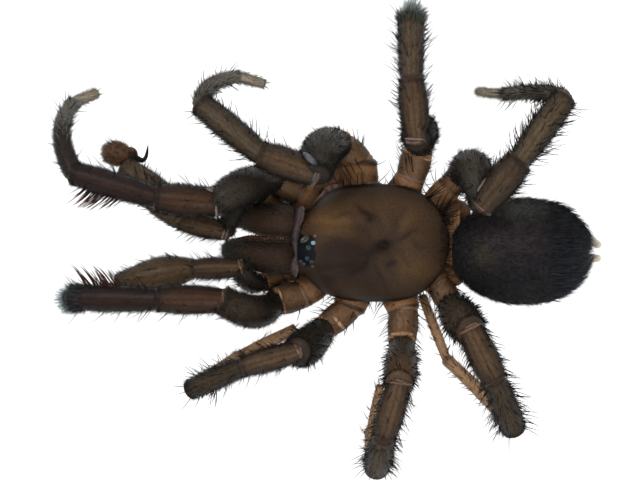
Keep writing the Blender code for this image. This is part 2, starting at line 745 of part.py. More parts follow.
for node, joints in limb_joints.items():
    for joint in joints:
        if joint["kind"] in BRISTLES:
            grow(node, joint, *BRISTLES[joint["kind"]])

# The brush of long curved bristles on the inner face of each front shin
for hand, flank in (("right", math.pi), ("left", 0)):
    node = f"leg_1_{hand}_tibia"
    shin = limb_joints[node][1]
    for k in range(11):
        share = 0.36 + 0.6 * k / 10
        for row in (-1, 1):
            turn = flank + row * 0.28
            bristle(node, shin, share, turn, chance.uniform(0.7, 1.0), 0.5)

# The strong bristle on the right palp, and the claws of every foot
bristle("palp_right_tibia", limb_joints["palp_right_tibia"][1], 0.7, 0, 0.6, 0.4, radius=0.07)
for name in LEGS:
    node = f"{name}_tarsus"
    tarsus = limb_joints[node][1]
    end = tarsus["route"][-1]
    along = heading(tarsus, True).normalized()
    across, over = frame_at(along, tarsus["side"])
    for flank in (-1, 1):
        root = end + along * 0.06 + across * flank * 0.07
        middle = root + along * 0.17 + across * flank * 0.04 + UP * 0.03
        tip = middle + along * 0.1 + across * flank * 0.02 - UP * 0.03
        nodes[node].append(spike(root, middle, tip, 0.045))

# Each node becomes one closed body, and feet that reach the ground are flattened there
wholes = {}
for name, pieces in nodes.items():
    wholes[name] = fused(pieces)
    if min(vertex.co.z for vertex in wholes[name].data.vertices) < 0:
        keep_side(wholes[name], Vector((0, 0, 0)), Vector((0, 0, -1)))

# The whole animal is set with the middle of its footprint on the origin
corners = [vertex.co for whole in wholes.values() for vertex in whole.data.vertices]
low = Vector((min(p.x for p in corners), min(p.y for p in corners), 0))
high = Vector((max(p.x for p in corners), max(p.y for p in corners), 0))
centred = Matrix.Translation(-(low + high) / 2)
for name, whole in wholes.items():
    whole.name = name
    whole.data.name = name
    whole.data.transform(Matrix.Scale(MM, 4) @ centred)
    whole.data.materials.clear()
    whole.data.materials.append(finishes[name])
    whole.data.shade_smooth()
    whole.data.set_sharp_from_angle(angle=math.radians(50))
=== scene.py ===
"""The looks of a preserved folding-door spider: smooth cuticle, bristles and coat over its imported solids.

Lengths are millimetres in the animal's own layout (it faces -Y), turned to metres as each mesh is made.
Colours are written as the 0-255 values that a screen shows.
"""

import math

import bpy
import numpy as np
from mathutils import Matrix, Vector


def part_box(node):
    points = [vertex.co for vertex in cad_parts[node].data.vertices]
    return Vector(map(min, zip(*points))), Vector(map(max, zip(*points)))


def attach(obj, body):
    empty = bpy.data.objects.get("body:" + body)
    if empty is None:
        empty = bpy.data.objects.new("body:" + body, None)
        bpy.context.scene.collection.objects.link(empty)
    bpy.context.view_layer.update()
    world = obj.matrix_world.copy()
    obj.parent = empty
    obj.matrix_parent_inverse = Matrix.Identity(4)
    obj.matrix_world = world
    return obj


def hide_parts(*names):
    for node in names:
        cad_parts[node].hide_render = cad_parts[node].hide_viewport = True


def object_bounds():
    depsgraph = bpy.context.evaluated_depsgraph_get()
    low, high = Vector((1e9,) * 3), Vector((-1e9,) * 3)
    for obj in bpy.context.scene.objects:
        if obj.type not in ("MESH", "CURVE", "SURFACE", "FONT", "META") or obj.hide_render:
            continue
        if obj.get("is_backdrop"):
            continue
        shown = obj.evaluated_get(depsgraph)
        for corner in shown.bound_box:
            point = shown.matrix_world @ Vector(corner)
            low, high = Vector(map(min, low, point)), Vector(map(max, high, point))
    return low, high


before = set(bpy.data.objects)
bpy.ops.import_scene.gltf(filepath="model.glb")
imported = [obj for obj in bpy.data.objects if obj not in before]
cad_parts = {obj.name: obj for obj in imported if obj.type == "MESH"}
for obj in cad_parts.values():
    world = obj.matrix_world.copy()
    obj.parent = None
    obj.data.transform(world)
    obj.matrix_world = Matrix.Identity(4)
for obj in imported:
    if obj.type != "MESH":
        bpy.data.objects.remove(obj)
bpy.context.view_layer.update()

# Camera
# The animal is seen from straight above through a long lens, with its head to the left. The breastplate's
# middle gives the place of the animal's own layout in the frame, in millimetres.
MM = 0.001
BREAST = np.array((0.05, 1.6, 0.0))
breast_low, breast_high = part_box("breastplate")
breast_middle = (breast_low + breast_high) / (2 * MM)
LAYOUT = np.array((breast_middle.x - BREAST[0], breast_middle.y - BREAST[1], 0.0))

PHOTO_PIXEL = 0.035556
PHOTO_WIDTH = 640
LENS = 900
SENSOR = 36
LOOK_AT = np.array((-0.0533, -0.2489, 2.4))

view_width = PHOTO_WIDTH * PHOTO_PIXEL
look_at = (LOOK_AT + LAYOUT) * MM
camera_data = bpy.data.cameras.new("camera")
camera_data.lens = LENS
camera_data.sensor_width = SENSOR
camera_data.clip_start = 0.005
camera_data.clip_end = 10
camera = bpy.data.objects.new("camera", camera_data)
camera.location = (look_at[0], look_at[1], look_at[2] + view_width * MM * LENS / SENSOR)
camera.rotation_euler = (0, 0, math.pi / 2)
bpy.context.scene.collection.objects.link(camera)
bpy.context.scene.camera = camera


# Head and thorax shield
# One plate of hard brown cuticle covers the head and thorax. It is highest over the head, has a pit in the
# middle of the thorax where muscles fasten inside, and shallow furrows that run out from the pit.
def linear(colour):
    """Scene values of a colour given as it shows on a screen"""
    share = np.asarray(colour, float) / 255
    return np.where(share <= 0.04045, share / 12.92, ((share + 0.055) / 1.055) ** 2.4)


def unit(vectors):
    return vectors / np.maximum(np.linalg.norm(vectors, axis=-1, keepdims=True), 1e-9)


def smooth_step(value):
    value = np.clip(value, 0, 1)
    return value * value * (3 - 2 * value)


def hill(offset, width):
    return np.exp(-((offset / width) ** 2))


def shaded(base, mask, colour):
    """Blends per-point colours towards another colour by a mask"""
    return base + (linear(colour) - base) * np.clip(mask, 0, 1)[..., None]


def painted(shape, colour, *layers):
    """One colour for all points of a form, then others, each as far as its mask goes"""
    tint = np.broadcast_to(linear(colour), shape)
    for mask, colour in layers:
        tint = shaded(tint, mask, colour)
    return tint


def xyz(x, y, z):
    """Points from their coordinates, spread out to the same shape"""
    return np.stack(np.broadcast_arrays(x, y, z), axis=-1)


def made(name, points, faces, finish, tint, unwrap=None):
    """A mesh object from points in millimetres and groups of faces, with a colour and a place on the unwrap
    for each point"""
    points = np.array(points, float)
    points[:, 2] = np.maximum(points[:, 2], 0)
    corners = np.concatenate([group.ravel() for group in faces])
    sizes = np.concatenate([np.full(len(group), group.shape[1]) for group in faces])
    mesh = bpy.data.meshes.new(name)
    mesh.vertices.add(len(points))
    mesh.vertices.foreach_set("co", ((points + LAYOUT) * MM).astype(np.float32).ravel())
    mesh.loops.add(len(corners))
    mesh.loops.foreach_set("vertex_index", corners.astype(np.int32))
    mesh.polygons.add(len(sizes))
    mesh.polygons.foreach_set("loop_start", (np.cumsum(sizes) - sizes).astype(np.int32))
    mesh.update(calc_edges=True)
    mesh.validate()
    mesh.shade_smooth()
    layer = mesh.color_attributes.new("tint", "FLOAT_COLOR", "POINT")
    values = np.ones((len(points), 4), np.float32)
    values[:, :3] = tint
    layer.data.foreach_set("color", values.ravel())
    if unwrap is not None:
        layer = mesh.uv_layers.new(name="OFBake")
        layer.data.foreach_set("uv", unwrap[corners].astype(np.float32).ravel())
    mesh.materials.append(finish)
    piece = bpy.data.objects.new(name, mesh)
    bpy.context.scene.collection.objects.link(piece)
    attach(piece, "root")
    return piece


def grid_faces(rows, columns, first=0):
    """Quads between neighbouring rings of points"""
    index = first + np.arange(rows * columns).reshape(rows, columns)
    index = np.concatenate([index, index[:, :1]], axis=1)
    corners = (index[:-1, :-1], index[:-1, 1:], index[1:, 1:], index[1:, :-1])
    return np.stack([corner.ravel() for corner in corners], axis=1)


def fan(ring, tip, inward=False):
    """Triangles between a ring of points and one more point"""
    edges = (np.roll(ring, -1), ring) if inward else (ring, np.roll(ring, -1))
    return np.stack([*edges, np.full(len(ring), tip)], axis=1)


def cuticle(name, roughness, grain, relief, mottle, gloss=0.14, detail=5, uneven=0.65, contrast=(0.3, 0.7)):
    """Hard skin: its colour comes from the mesh, broken up by fine mottling, over a slightly rough surface"""
    finish = bpy.data.materials.new(name)
    finish.use_nodes = True
    nodes, links = finish.node_tree.nodes, finish.node_tree.links
    shader = nodes["Principled BSDF"]
    shader.inputs["Roughness"].default_value = roughness
    shader.inputs["Specular IOR Level"].default_value = gloss
    tint = nodes.new("ShaderNodeAttribute")
    tint.attribute_name = "tint"
    place = nodes.new("ShaderNodeTexCoord")
    spots = nodes.new("ShaderNodeTexNoise")
    spread = nodes.new("ShaderNodeMapRange")
    blend = nodes.new("ShaderNodeVectorMath")
    blend.operation = "SCALE"
    bump = nodes.new("ShaderNodeBump")
    for node, socket, value in (
        (spots, "Scale", grain), (spots, "Detail", detail), (spots, "Roughness", uneven),
        (spread, "From Min", contrast[0]), (spread, "From Max", contrast[1]),
        (spread, "To Min", 1 - mottle), (spread, "To Max", 1 + mottle),
        (bump, "Strength", relief), (bump, "Distance", 0.01 * MM),
    ):
        node.inputs[socket].default_value = value
    links.new(place.outputs["Object"], spots.inputs["Vector"])
    links.new(spots.outputs["Fac"], spread.inputs["Value"])
    links.new(tint.outputs["Color"], blend.inputs[0])
    links.new(spread.outputs["Result"], blend.inputs["Scale"])
    links.new(blend.outputs["Vector"], shader.inputs["Base Color"])
    if relief:
        links.new(spots.outputs["Fac"], bump.inputs["Height"])
        links.new(bump.outputs["Normal"], shader.inputs["Normal"])
    return finish


RIM_Z = 1.42
UNDERSIDE_Z = 1.34
HEAD_Z = 3.05
THORAX_Z = 2.45
FRONT_Y = -0.98
REAR_Y = 4.36
BODY_X = 0.05
HEAD_LEAN = 0.22
SHIELD_HALF_WIDTH = 2.1
HEAD_HALF_WIDTH = 1.13
EYE_MOUND = (0.32, -0.68)
PIT = (0.12, 1.98)

SHIELD_BROWN = (67, 49, 34)
SHIELD_DARK = (32, 21, 17)
SHIELD_RED = (46, 28, 20)
# A golden tone, also used for a painted highlight on the raised right side of the head
SHIELD_GOLD_AND_HIGHLIGHT = (98, 71, 41)
SHIELD_RIM = (26, 18, 14)
SHIELD_SHADE = (34, 23, 19)
EYE_BLACK = (9, 12, 16)


def shield_half_width(share):
    front = SHIELD_HALF_WIDTH * np.clip(1 - np.abs((share - 0.52) / 0.52) ** 3.1, 0, 1) ** 0.5
    rear = SHIELD_HALF_WIDTH * np.clip(1 - np.abs((share - 0.52) / 0.485) ** 2.9, 0, 1) ** 0.62
    wide = np.where(share < 0.52, front, rear)
    blunt = (wide**6 + HEAD_HALF_WIDTH**6) ** (1 / 6)
    return wide + (blunt - wide) * smooth_step((0.3 - share) / 0.2)


def shield_top(share):
    head = HEAD_Z - 0.3 * np.clip((0.12 - share) / 0.12, 0, None) ** 2
    crown = head + (THORAX_Z - HEAD_Z) * smooth_step((share - 0.22) / 0.33)
    return crown - (THORAX_Z - RIM_Z - 0.1) * np.clip((share - 0.68) / 0.32, 0, None) ** 2


def shield_points(share, across):
    """Points of the shield's outside; across runs from -1 at the right rim to 1 at the left"""
    y = FRONT_Y + (REAR_Y - FRONT_Y) * share
    bend = np.sin(across * math.pi / 2)
    lean = HEAD_LEAN * (1 - share) * (1 - bend * bend)
    x = BODY_X + shield_half_width(share) * bend + lean
    rim = RIM_Z + 0.45 * np.clip(0.3 - share, 0, None)
    z = rim + (shield_top(share) - rim) * np.clip(1 - np.abs(bend) ** 2.4, 0, 1) ** 0.62
    z = z + 0.12 * hill(x - EYE_MOUND[0], 0.5) * hill(y - EYE_MOUND[1], 0.3)
    z = z - 0.2 * hill(x - PIT[0], 0.16) * hill(y - PIT[1], 0.25)
    seam = BODY_X + lean + (0.95 - 0.55 * share) * np.where(x > BODY_X + lean, 1, -1)
    z = z - 0.1 * hill(x - seam, 0.18) * smooth_step((0.56 - share) / 0.12)
    z = z - 0.016 * furrows(x, y)
    skew = 0.18 * np.clip(-bend, 0, None) * np.clip(0.3 - share, 0, None) / 0.3
    return np.stack([x, y + skew, z], axis=-1)


def furrows(x, y):
    """How deep each point lies in the furrows that run out from the pit"""
    out = np.hypot(x - PIT[0], y - PIT[1])
    turn = np.arctan2(x - PIT[0], y - PIT[1])
    depth = np.zeros_like(out)
    for heading in (0.55, 1.15, 1.75, 2.55):
        for side in (-1, 1):
            bearing = np.angle(np.exp(1j * (turn - side * heading)))
            depth = np.maximum(depth, hill(bearing * np.maximum(out, 0.3), 0.16))
    return depth * smooth_step(out / 0.5) * smooth_step((1.9 - out) / 0.9)


# Stains of the shield: place, half lengths along and across, heading in degrees, strength and colour. Among
# them are painted light and shade: the broad gold patch on the raised right side of the head is partly a
# painted highlight, and the two broad dark patches over the left side are painted shade.
STAINS = (
    # Painted highlight over a gold tone, where the raised right side of the head catches the light
    ((-0.82, 0.0), (0.85, 0.4), 8, 0.8, SHIELD_GOLD_AND_HIGHLIGHT),
    ((-0.35, 0.55), (0.5, 0.3), 35, 0.4, SHIELD_GOLD_AND_HIGHLIGHT),
    ((-0.62, 2.85), (0.7, 0.4), -50, 0.35, SHIELD_GOLD_AND_HIGHLIGHT),
    ((1.0, 3.3), (0.9, 0.5), 20, 0.4, SHIELD_GOLD_AND_HIGHLIGHT),
    ((-1.35, 1.2), (1.2, 0.35), 0, 0.22, SHIELD_GOLD_AND_HIGHLIGHT),
    ((-1.02, 1.3), (0.38, 0.15), 30, 0.9, SHIELD_RED),
    ((-0.74, 1.42), (0.14, 0.16), 0, 0.8, SHIELD_DARK),
    ((-0.9, 0.42), (0.45, 0.12), 8, 0.45, SHIELD_RED),
    ((-0.65, 2.55), (0.65, 0.13), -55, 0.5, SHIELD_RED),
    ((-0.1, 2.7), (0.5, 0.1), -22, 0.8, SHIELD_RED),
    ((0.1, 3.3), (0.5, 0.1), 5, 0.35, SHIELD_RED),
    ((0.85, 1.1), (0.85, 0.16), -32, 0.85, SHIELD_DARK),
    ((1.35, -0.1), (0.6, 0.25), -10, 0.5, SHIELD_DARK),
    ((0.9, 2.35), (0.16, 0.14), 30, 0.7, SHIELD_DARK),
    ((1.25, 1.9), (0.6, 0.1), 70, 0.35, SHIELD_DARK),
    ((0.22, 0.6), (1.1, 0.3), 0, 0.6, SHIELD_RED),
    ((0.3, 1.5), (0.5, 0.2), 0, 0.55, SHIELD_DARK),
    # Painted shade over the left side of the shield
    ((0.75, 0.4), (1.7, 0.75), -6, 0.62, SHIELD_SHADE),
    ((1.5, 1.3), (1.3, 0.6), 5, 0.35, SHIELD_SHADE),
    ((0.14, 1.98), (0.3, 0.26), 0, 0.9, SHIELD_RIM),
)


def wander(x, y):
    """A slow, irregular drift that keeps stains from looking drawn"""
    drift_x = 0.11 * np.sin(2.9 * y + 1.3 * np.sin(2.3 * x)) + 0.05 * np.sin(7.1 * y + 4.0 * x)
    drift_y = 0.11 * np.sin(3.1 * x + 1.7 * np.sin(1.9 * y)) + 0.05 * np.sin(6.3 * x - 5.0 * y)
    return x + drift_x, y + drift_y


def shield_tint(points):
    x, y = points[..., 0], points[..., 1]
    tint = painted(points.shape, SHIELD_BROWN)
    drift_x, drift_y = wander(x, y)
    for place, (half_long, half_wide), heading, strength, colour in STAINS:
        turn = math.radians(heading)
        ahead = (drift_y - place[1]) * math.cos(turn) + (drift_x - place[0]) * math.sin(turn)
        aside = (drift_x - place[0]) * math.cos(turn) - (drift_y - place[1]) * math.sin(turn)
        tint = shaded(tint, 1.3 * strength * hill(ahead, half_long) * hill(aside, half_wide), colour)
    tint = shaded(tint, 0.3 * furrows(drift_x, drift_y), SHIELD_DARK)
    patch = ((np.abs(x - 0.31) / 0.55) ** 2.6 + (np.abs(y + 0.76) / 0.34) ** 2.6) ** (1 / 2.6)
    patch = patch + 0.1 * np.sin(9 * x) * np.sin(11 * y) + 0.05 * np.sin(23 * x - 17 * y)
    return shaded(tint, smooth_step((1.1 - patch) / 0.16), EYE_BLACK)


def shield_mesh():
    """The shield's top, its underside, and a rounded lip in front"""
    arch, stations, under, cap = 121, 150, 3, 7
    across = np.linspace(-1, 1, arch)
    top = shield_points(np.linspace(0, 0.998, stations)[:, None], across[None])
    reach = np.linspace(0.9, 0.1, under)[None, :, None]
    left, right = BODY_X + (top[:, -1:] - BODY_X) * reach, BODY_X + (top[:, :1] - BODY_X) * reach[:, ::-1]
    below = np.concatenate([left, right], axis=1)
    below[..., 1] = top[:, :1, 1]
    below[..., 2] = UNDERSIDE_Z
    rings = np.concatenate([top, below], axis=1)
    first = rings[0]
    middle = np.array((first[:, 0].mean(), FRONT_Y, 1.95))
    lip = []
    for k in range(cap, 0, -1):
        turn = math.pi / 2 * k / cap
        ring = middle + (first - middle) * math.cos(turn) ** 0.7
        ring[:, 1] = first[:, 1] - 0.09 * math.sin(turn)
        lip.append(ring)
    rings = np.concatenate([lip, rings])
    rows, columns = rings.shape[:2]
    # The rim colour darkens the shield's narrow dark margin line, and as painted shade also the outer flanks
    # that slope away from the light
    side = np.abs(np.sin(across * math.pi / 2))
    edge = smooth_step((side - 0.93) / 0.05) + 0.4 * smooth_step((side - 0.7) / 0.3)
    rim = np.ones((rows, columns))
    rim[:, :arch] = edge * smooth_step(np.arange(rows) / 12)[:, None]
    tint = shaded(shield_tint(rings), rim, SHIELD_RIM)
    tail = fan((rows - 1) * columns + np.arange(columns), rows * columns)
    points = np.concatenate([rings.reshape(-1, 3), rings[-1:].mean(axis=1)])
    tint = np.concatenate([tint.reshape(-1, 3), linear(SHIELD_RIM)[None]])
    finish = cuticle("brown shield cuticle", 0.6, 15000, 0.3, 0.3)
    return made("carapace_skin", points, [grid_faces(rows, columns), tail], finish, tint)


shield = shield_mesh()
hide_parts("carapace")


# Bristles of the shield
# Stiff black bristles, each a tapered rod sunk into the cuticle at its root, fringe the shield's rear margin
# and lean backwards. A sprinkling of short ones stands on the head and thorax.
UP = np.array((0.0, 0.0, 1.0))
BRISTLE_BLACK = (20, 15, 13)
bristle_finish = cuticle("black bristle", 0.4, 14000, 0.0, 0.25)
chance = np.random.default_rng(7)


def varied(count):
    """Random brightness of each hair"""
    return 1 + 0.5 * chance.uniform(-1, 1, (count, 1))


def hairs(name, roots, aims, bends, lengths, thickness, places=0.5, colours=BRISTLE_BLACK,
          finish=bristle_finish, levels=3, sink=0.0):
    """Tapered, bent, three-sided rods, each from its sunken root along its aim and curving off towards its
    bend. Their colours are one for each, or one that varies."""
    roots, aims = np.asarray(roots, float), np.asarray(aims, float)
    roots = roots - aims * sink
    count = len(roots)
    if isinstance(colours, tuple):
        colours = linear(colours) * varied(count)
    bends = np.broadcast_to(bends, roots.shape)[:, None]
    lengths = np.broadcast_to(lengths, count)[:, None, None]
    thickness = np.broadcast_to(thickness, count)[:, None, None]
    share = (np.arange(levels + 1) / levels)[None, :, None]
    spine = roots[:, None] + lengths * (aims[:, None] * share + bends * share**2)
    across = unit(np.cross(aims, np.where(np.abs(aims[:, 2:]) < 0.9, UP, (1.0, 0.0, 0.0))))
    over = np.cross(aims, across)
    girth = thickness * (1 - share[:, :-1]) ** 0.5
    rods = []
    for k in range(3):
        turn = math.tau * k / 3
        rods.append(spine[:, :-1] + (across * math.cos(turn) + over * math.sin(turn))[:, None] * girth)
    rods = np.stack(rods, axis=2).reshape(count, levels * 3, 3)
    points = np.concatenate([rods, spine[:, -1:]], axis=1)
    tip = levels * 3
    pairs = [(k, (k + 1) % 3) for k in range(3)]
    quads = [(low + a, low + b, low + 3 + b, low + 3 + a) for low in range(0, tip - 3, 3) for a, b in pairs]
    tips = [(tip - 3 + a, tip - 3 + b, tip) for a, b in pairs]
    offset = (np.arange(count) * (tip + 1))[:, None, None]
    faces = [(np.array(group)[None] + offset).reshape(-1, len(group[0])) for group in (quads, tips)]
    spread = np.array([((k % 3 - 1) * 0.0012, (k // 3 - levels / 2) * 0.0008) for k in range(tip + 1)])
    places = np.broadcast_to(places, (count, 2))[:, None] + spread
    fade = np.ones(tip + 1)
    fade[-4:] = 1.35
    tint = colours[:, None] * fade[None, :, None]
    return made(name, points.reshape(-1, 3), faces, finish, tint.reshape(-1, 3), places.reshape(-1, 2))


def on_unwrap(across, along, margin=0.02):
    """Places on the unwrap from shares across and along a piece, kept off its edges"""
    return np.stack([across, along], axis=-1) * (1 - 2 * margin) + margin


# Sparser bristles: count, range along the shield, side and range across it, range of lengths, and rise
SHIELD_BRISTLES = (
    (26, (0.84, 0.97), -1, (0.8, 0.97), (0.6, 1.0), 0.5),
    (10, (0.25, 0.6), -1, (0.97, 1.0), (0.5, 0.8), 0.8),
    (150, (0.05, 0.95), 1, (-0.95, 0.95), (0.04, 0.1), 0.8),
    (16, (0.0, 0.05), 1, (-0.5, 0.6), (0.2, 0.4), 0.6),
)


def shield_bristles():
    spots = []
    for k in range(90):
        across = chance.uniform(-1, 1)
        spots.append((0.93 + 0.06 * chance.random(), across, chance.uniform(0.25, 0.55), 0.45))
    for count, along, side, across, length, rise in SHIELD_BRISTLES:
        for k in range(count):
            place, aside = chance.uniform(*along), side * chance.uniform(*across)
            spots.append((place, aside, chance.uniform(*length), rise))
    share, across, lengths, rise = np.array(spots).T
    roots = shield_points(share, across)
    out = unit((roots - (BODY_X, 1.9, 0)) * (1, 1, 0))
    aims = unit(out * 0.8 + xyz(0, 0.25, rise) + chance.normal(0, 0.12, roots.shape))
    places = on_unwrap((across + 1) / 2, share, margin=0.01)
    thickness = 0.006 + 0.014 * lengths
    return hairs("carapace_bristles", roots, aims, (0, 0.12, -0.05), lengths, thickness, places, sink=0.02)


shield_bristles()


# Eyes
# Eight simple eyes, clear domes of cuticle over black pigment, sit close together on a low mound. The two at
# the front corners are large greyish ovals. The right one of the rear middle pair carries a bright painted
# glint, and most eyes of the right side are painted lighter than their left partners, as painted light from
# the right.
def around(columns):
    """Turns of evenly spread points round a ring"""
    return np.linspace(0, math.tau, columns, endpoint=False)


def dome(name, centre, radii, turn, colour):
    """A smooth flattened ball, pale on top and dark round its foot"""
    rows, columns = 20, 28
    up = np.linspace(0, math.pi, rows + 1)[1:-1, None]
    x, y = radii[0] * np.sin(up) * np.cos(around(columns)), radii[1] * np.sin(up) * np.sin(around(columns))
    across, along = math.cos(turn), math.sin(turn)
    spun = xyz(x * across - y * along, x * along + y * across, radii[2] * np.cos(up))
    points = np.concatenate([spun.reshape(-1, 3), [(0, 0, radii[2])], [(0, 0, -radii[2])]]) + centre
    count = (rows - 1) * columns
    ring = np.arange(columns)
    caps = (fan(ring, count, inward=True), fan(count - columns + ring, count + 1))
    height = (points[:, 2] - centre[2]) / radii[2]
    tint = painted(points.shape, EYE_BLACK, (smooth_step((height - 0.1) / 0.45), colour))
    return made(name, points, [grid_faces(rows - 1, columns)[:, ::-1], *caps], eye_finish, tint)


eye_finish = cuticle("eye lens", 0.12, 16000, 0.0, 0.25, gloss=0.3, detail=2, uneven=0.5, contrast=(0, 1))
EYE_HEIGHT = 0.075
# Place, half sizes, turn and top colour of each eye; the top colours hold a painted glint and painted light
# on the right side
EYES = {
    "eye_front_side_right": ((-0.07, -0.79), (0.12, 0.19), 0.5, (58, 58, 53)),
    "eye_front_side_left": ((0.74, -0.87), (0.1, 0.16), -0.5, (34, 38, 40)),
    "eye_front_middle_right": ((0.22, -0.66), (0.11, 0.11), 0, (38, 49, 55)),
    "eye_front_middle_left": ((0.59, -0.7), (0.1, 0.1), 0, (34, 48, 58)),
    "eye_back_middle_right": ((0.05, -0.49), (0.08, 0.09), 0, (136, 158, 174)),
    "eye_back_middle_left": ((0.71, -0.55), (0.08, 0.1), 0, (36, 50, 60)),
    "eye_back_side_right": ((-0.2, -0.42), (0.07, 0.09), 0.6, (104, 78, 64)),
    "eye_back_side_left": ((0.87, -0.51), (0.07, 0.09), -0.6, (66, 49, 42)),
}
for name, (place, radii, turn, colour) in EYES.items():
    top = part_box(name)[1].z / MM
    eye = dome(name + "_lens", (*place, top - EYE_HEIGHT), (*radii, EYE_HEIGHT), turn, colour)
    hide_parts(name)


# Jaws, teeth and fangs
# Two stout jaws of brown cuticle hang in a soft pale collar in front of the shield. Each ends in a hairy
# front, carries a black fang folded below it, and has a row of small reddish teeth along its inner edge.
def along_route(stations, share):
    """Values between the stations of a route, rounded off where it bends"""
    stations = np.asarray(stations, float)
    at = np.linspace(0, 1, len(stations))
    step = 0.35 / (len(stations) - 1)
    total = 0
    for shift, weight in ((-step, 0.25), (0, 0.5), (step, 0.25)):
        where = np.clip(share + shift, 0, 1)
        total = total + weight * np.stack([np.interp(where, at, column) for column in stations.T], axis=-1)
    return total


JAWS = {
    "right": ((-0.66, -1.1, 0.54, 1.05, 2.4), (-0.71, -1.6, 0.6, 0.98, 2.78), (-0.78, -2.31, 0.6, 0.95, 2.6),
              (-0.93, -2.92, 0.5, 0.9, 2.2), (-1.0, -3.3, 0.38, 0.95, 1.85), (-1.02, -3.55, 0.16, 1.15, 1.5)),
    "left": ((0.56, -1.16, 0.6, 1.05, 2.42), (0.57, -1.6, 0.61, 0.98, 2.78), (0.53, -2.31, 0.6, 0.95, 2.6),
             (0.42, -2.9, 0.53, 0.9, 2.3), (0.36, -3.32, 0.44, 0.95, 2.05), (0.32, -3.55, 0.29, 1.1, 1.8),
             (0.31, -3.68, 0.08, 1.3, 1.6)),
}
JAW_BROWN = (58, 41, 29)
# Painted shade for the jaws' sides
JAW_SIDE_SHADE = (34, 25, 19)
JAW_TIP = (50, 51, 47)
# Colour of a painted highlight along the jaw's upper inner edge
JAW_RIDGE_HIGHLIGHT = (104, 88, 74)
TOOTH_RED = (82, 50, 40)
# Colour of painted glints on the teeth
TOOTH_GLINT = (132, 104, 88)
LIP_TAN = (92, 70, 58)
FANG_BLACK = (30, 14, 10)
MEMBRANE_PINK = (80, 69, 69)
SIDE_MAUVE = (136, 108, 100)
SIDE_BROWN = (98, 68, 50)
JAW_FROST = (70, 72, 65)
JAW_SHADES = {"right": 1.0, "left": 0.7}
# The collar's fold streaks of painted shade, its gap between the jaws, its front, and a painted highlight
# along its crest
COLLAR_COLOURS = ((64, 51, 51), (64, 48, 44), (52, 40, 37), (148, 126, 112))

# A fang from its root on the jaw's tip to its point, and its thickness
FANG_ROUTE = ((0, -3.3, 0.95), (0, -3.3, 0.72), (0.01, -3.05, 0.5), (0.03, -2.7, 0.37), (0.06, -2.3, 0.3))
FANG_SIZES = (0.17, 0.17, 0.14, 0.09, 0.02)


def jaw_surface(hand, share, turn):
    """Points of a jaw at places along and around it"""
    x, y, half, low, high = np.moveaxis(along_route(JAWS[hand], share), -1, 0)
    cross = np.cos(turn)
    side = np.sign(cross) * np.abs(cross) ** 0.85
    return xyz(x + half * side, y, (low + high) / 2 + (high - low) / 2 * np.sin(turn))


class Skin:
    """Collects closed forms, each from rings of points, into a single mesh"""

    def __init__(self):
        self.points, self.quads, self.fans, self.tints = [], [], [], []
        self.total = 0

    def add(self, rings, tint):
        rows, columns = rings.shape[:2]
        first = self.total + np.arange(columns)
        tip = self.total + rows * columns
        self.quads.append(grid_faces(rows, columns, self.total))
        self.fans += [fan(first, tip, inward=True), fan(first + (rows - 1) * columns, tip + 1)]
        self.points += [rings.reshape(-1, 3), rings[:1].mean(axis=1), rings[-1:].mean(axis=1)]
        self.tints += [tint.reshape(-1, 3), tint[0, :1], tint[-1, :1]]
        self.total = tip + 2

    def done(self, name, finish):
        faces = [np.concatenate(self.quads), np.concatenate(self.fans)]
        return made(name, np.concatenate(self.points), faces, finish, np.concatenate(self.tints))


def closed_tube(rings, tint, name, finish):
    skin = Skin()
    skin.add(rings, tint)
    return skin.done(name, finish)


def about(way, turn, wide=1.0, tall=1.0, across=None):
    """Directions square to a way, at turns round it"""
    across = unit(np.cross(way, UP)) if across is None else across
    over = np.cross(across, way)
    return across * (np.cos(turn) * wide)[:, None] + over * (np.sin(turn) * tall)[:, None]


def pipe(spine, sizes, columns, across=None):
    """Rings square to a bent line"""
    way = unit(np.gradient(spine, axis=0))
    return spine[:, None] + sizes[:, None, None] * about(way[:, None], around(columns), across=across)


def hoops(spine, wide, tall, columns):
    """Upright rings along a line that runs from front to rear"""
    turn = around(columns)
    return spine[:, None] + xyz(wide[:, None] * np.cos(turn), 0, tall[:, None] * np.sin(turn))


jaw_finish = cuticle("jaw cuticle", 0.65, 12000, 0.3, 0.3)
tooth_finish = cuticle("tooth", 0.25, 14000, 0.1, 0.3)
fang_finish = cuticle("black fang", 0.18, 12000, 0.1, 0.2)
membrane_finish = cuticle("pale membrane", 0.55, 7000, 0.8, 0.22)

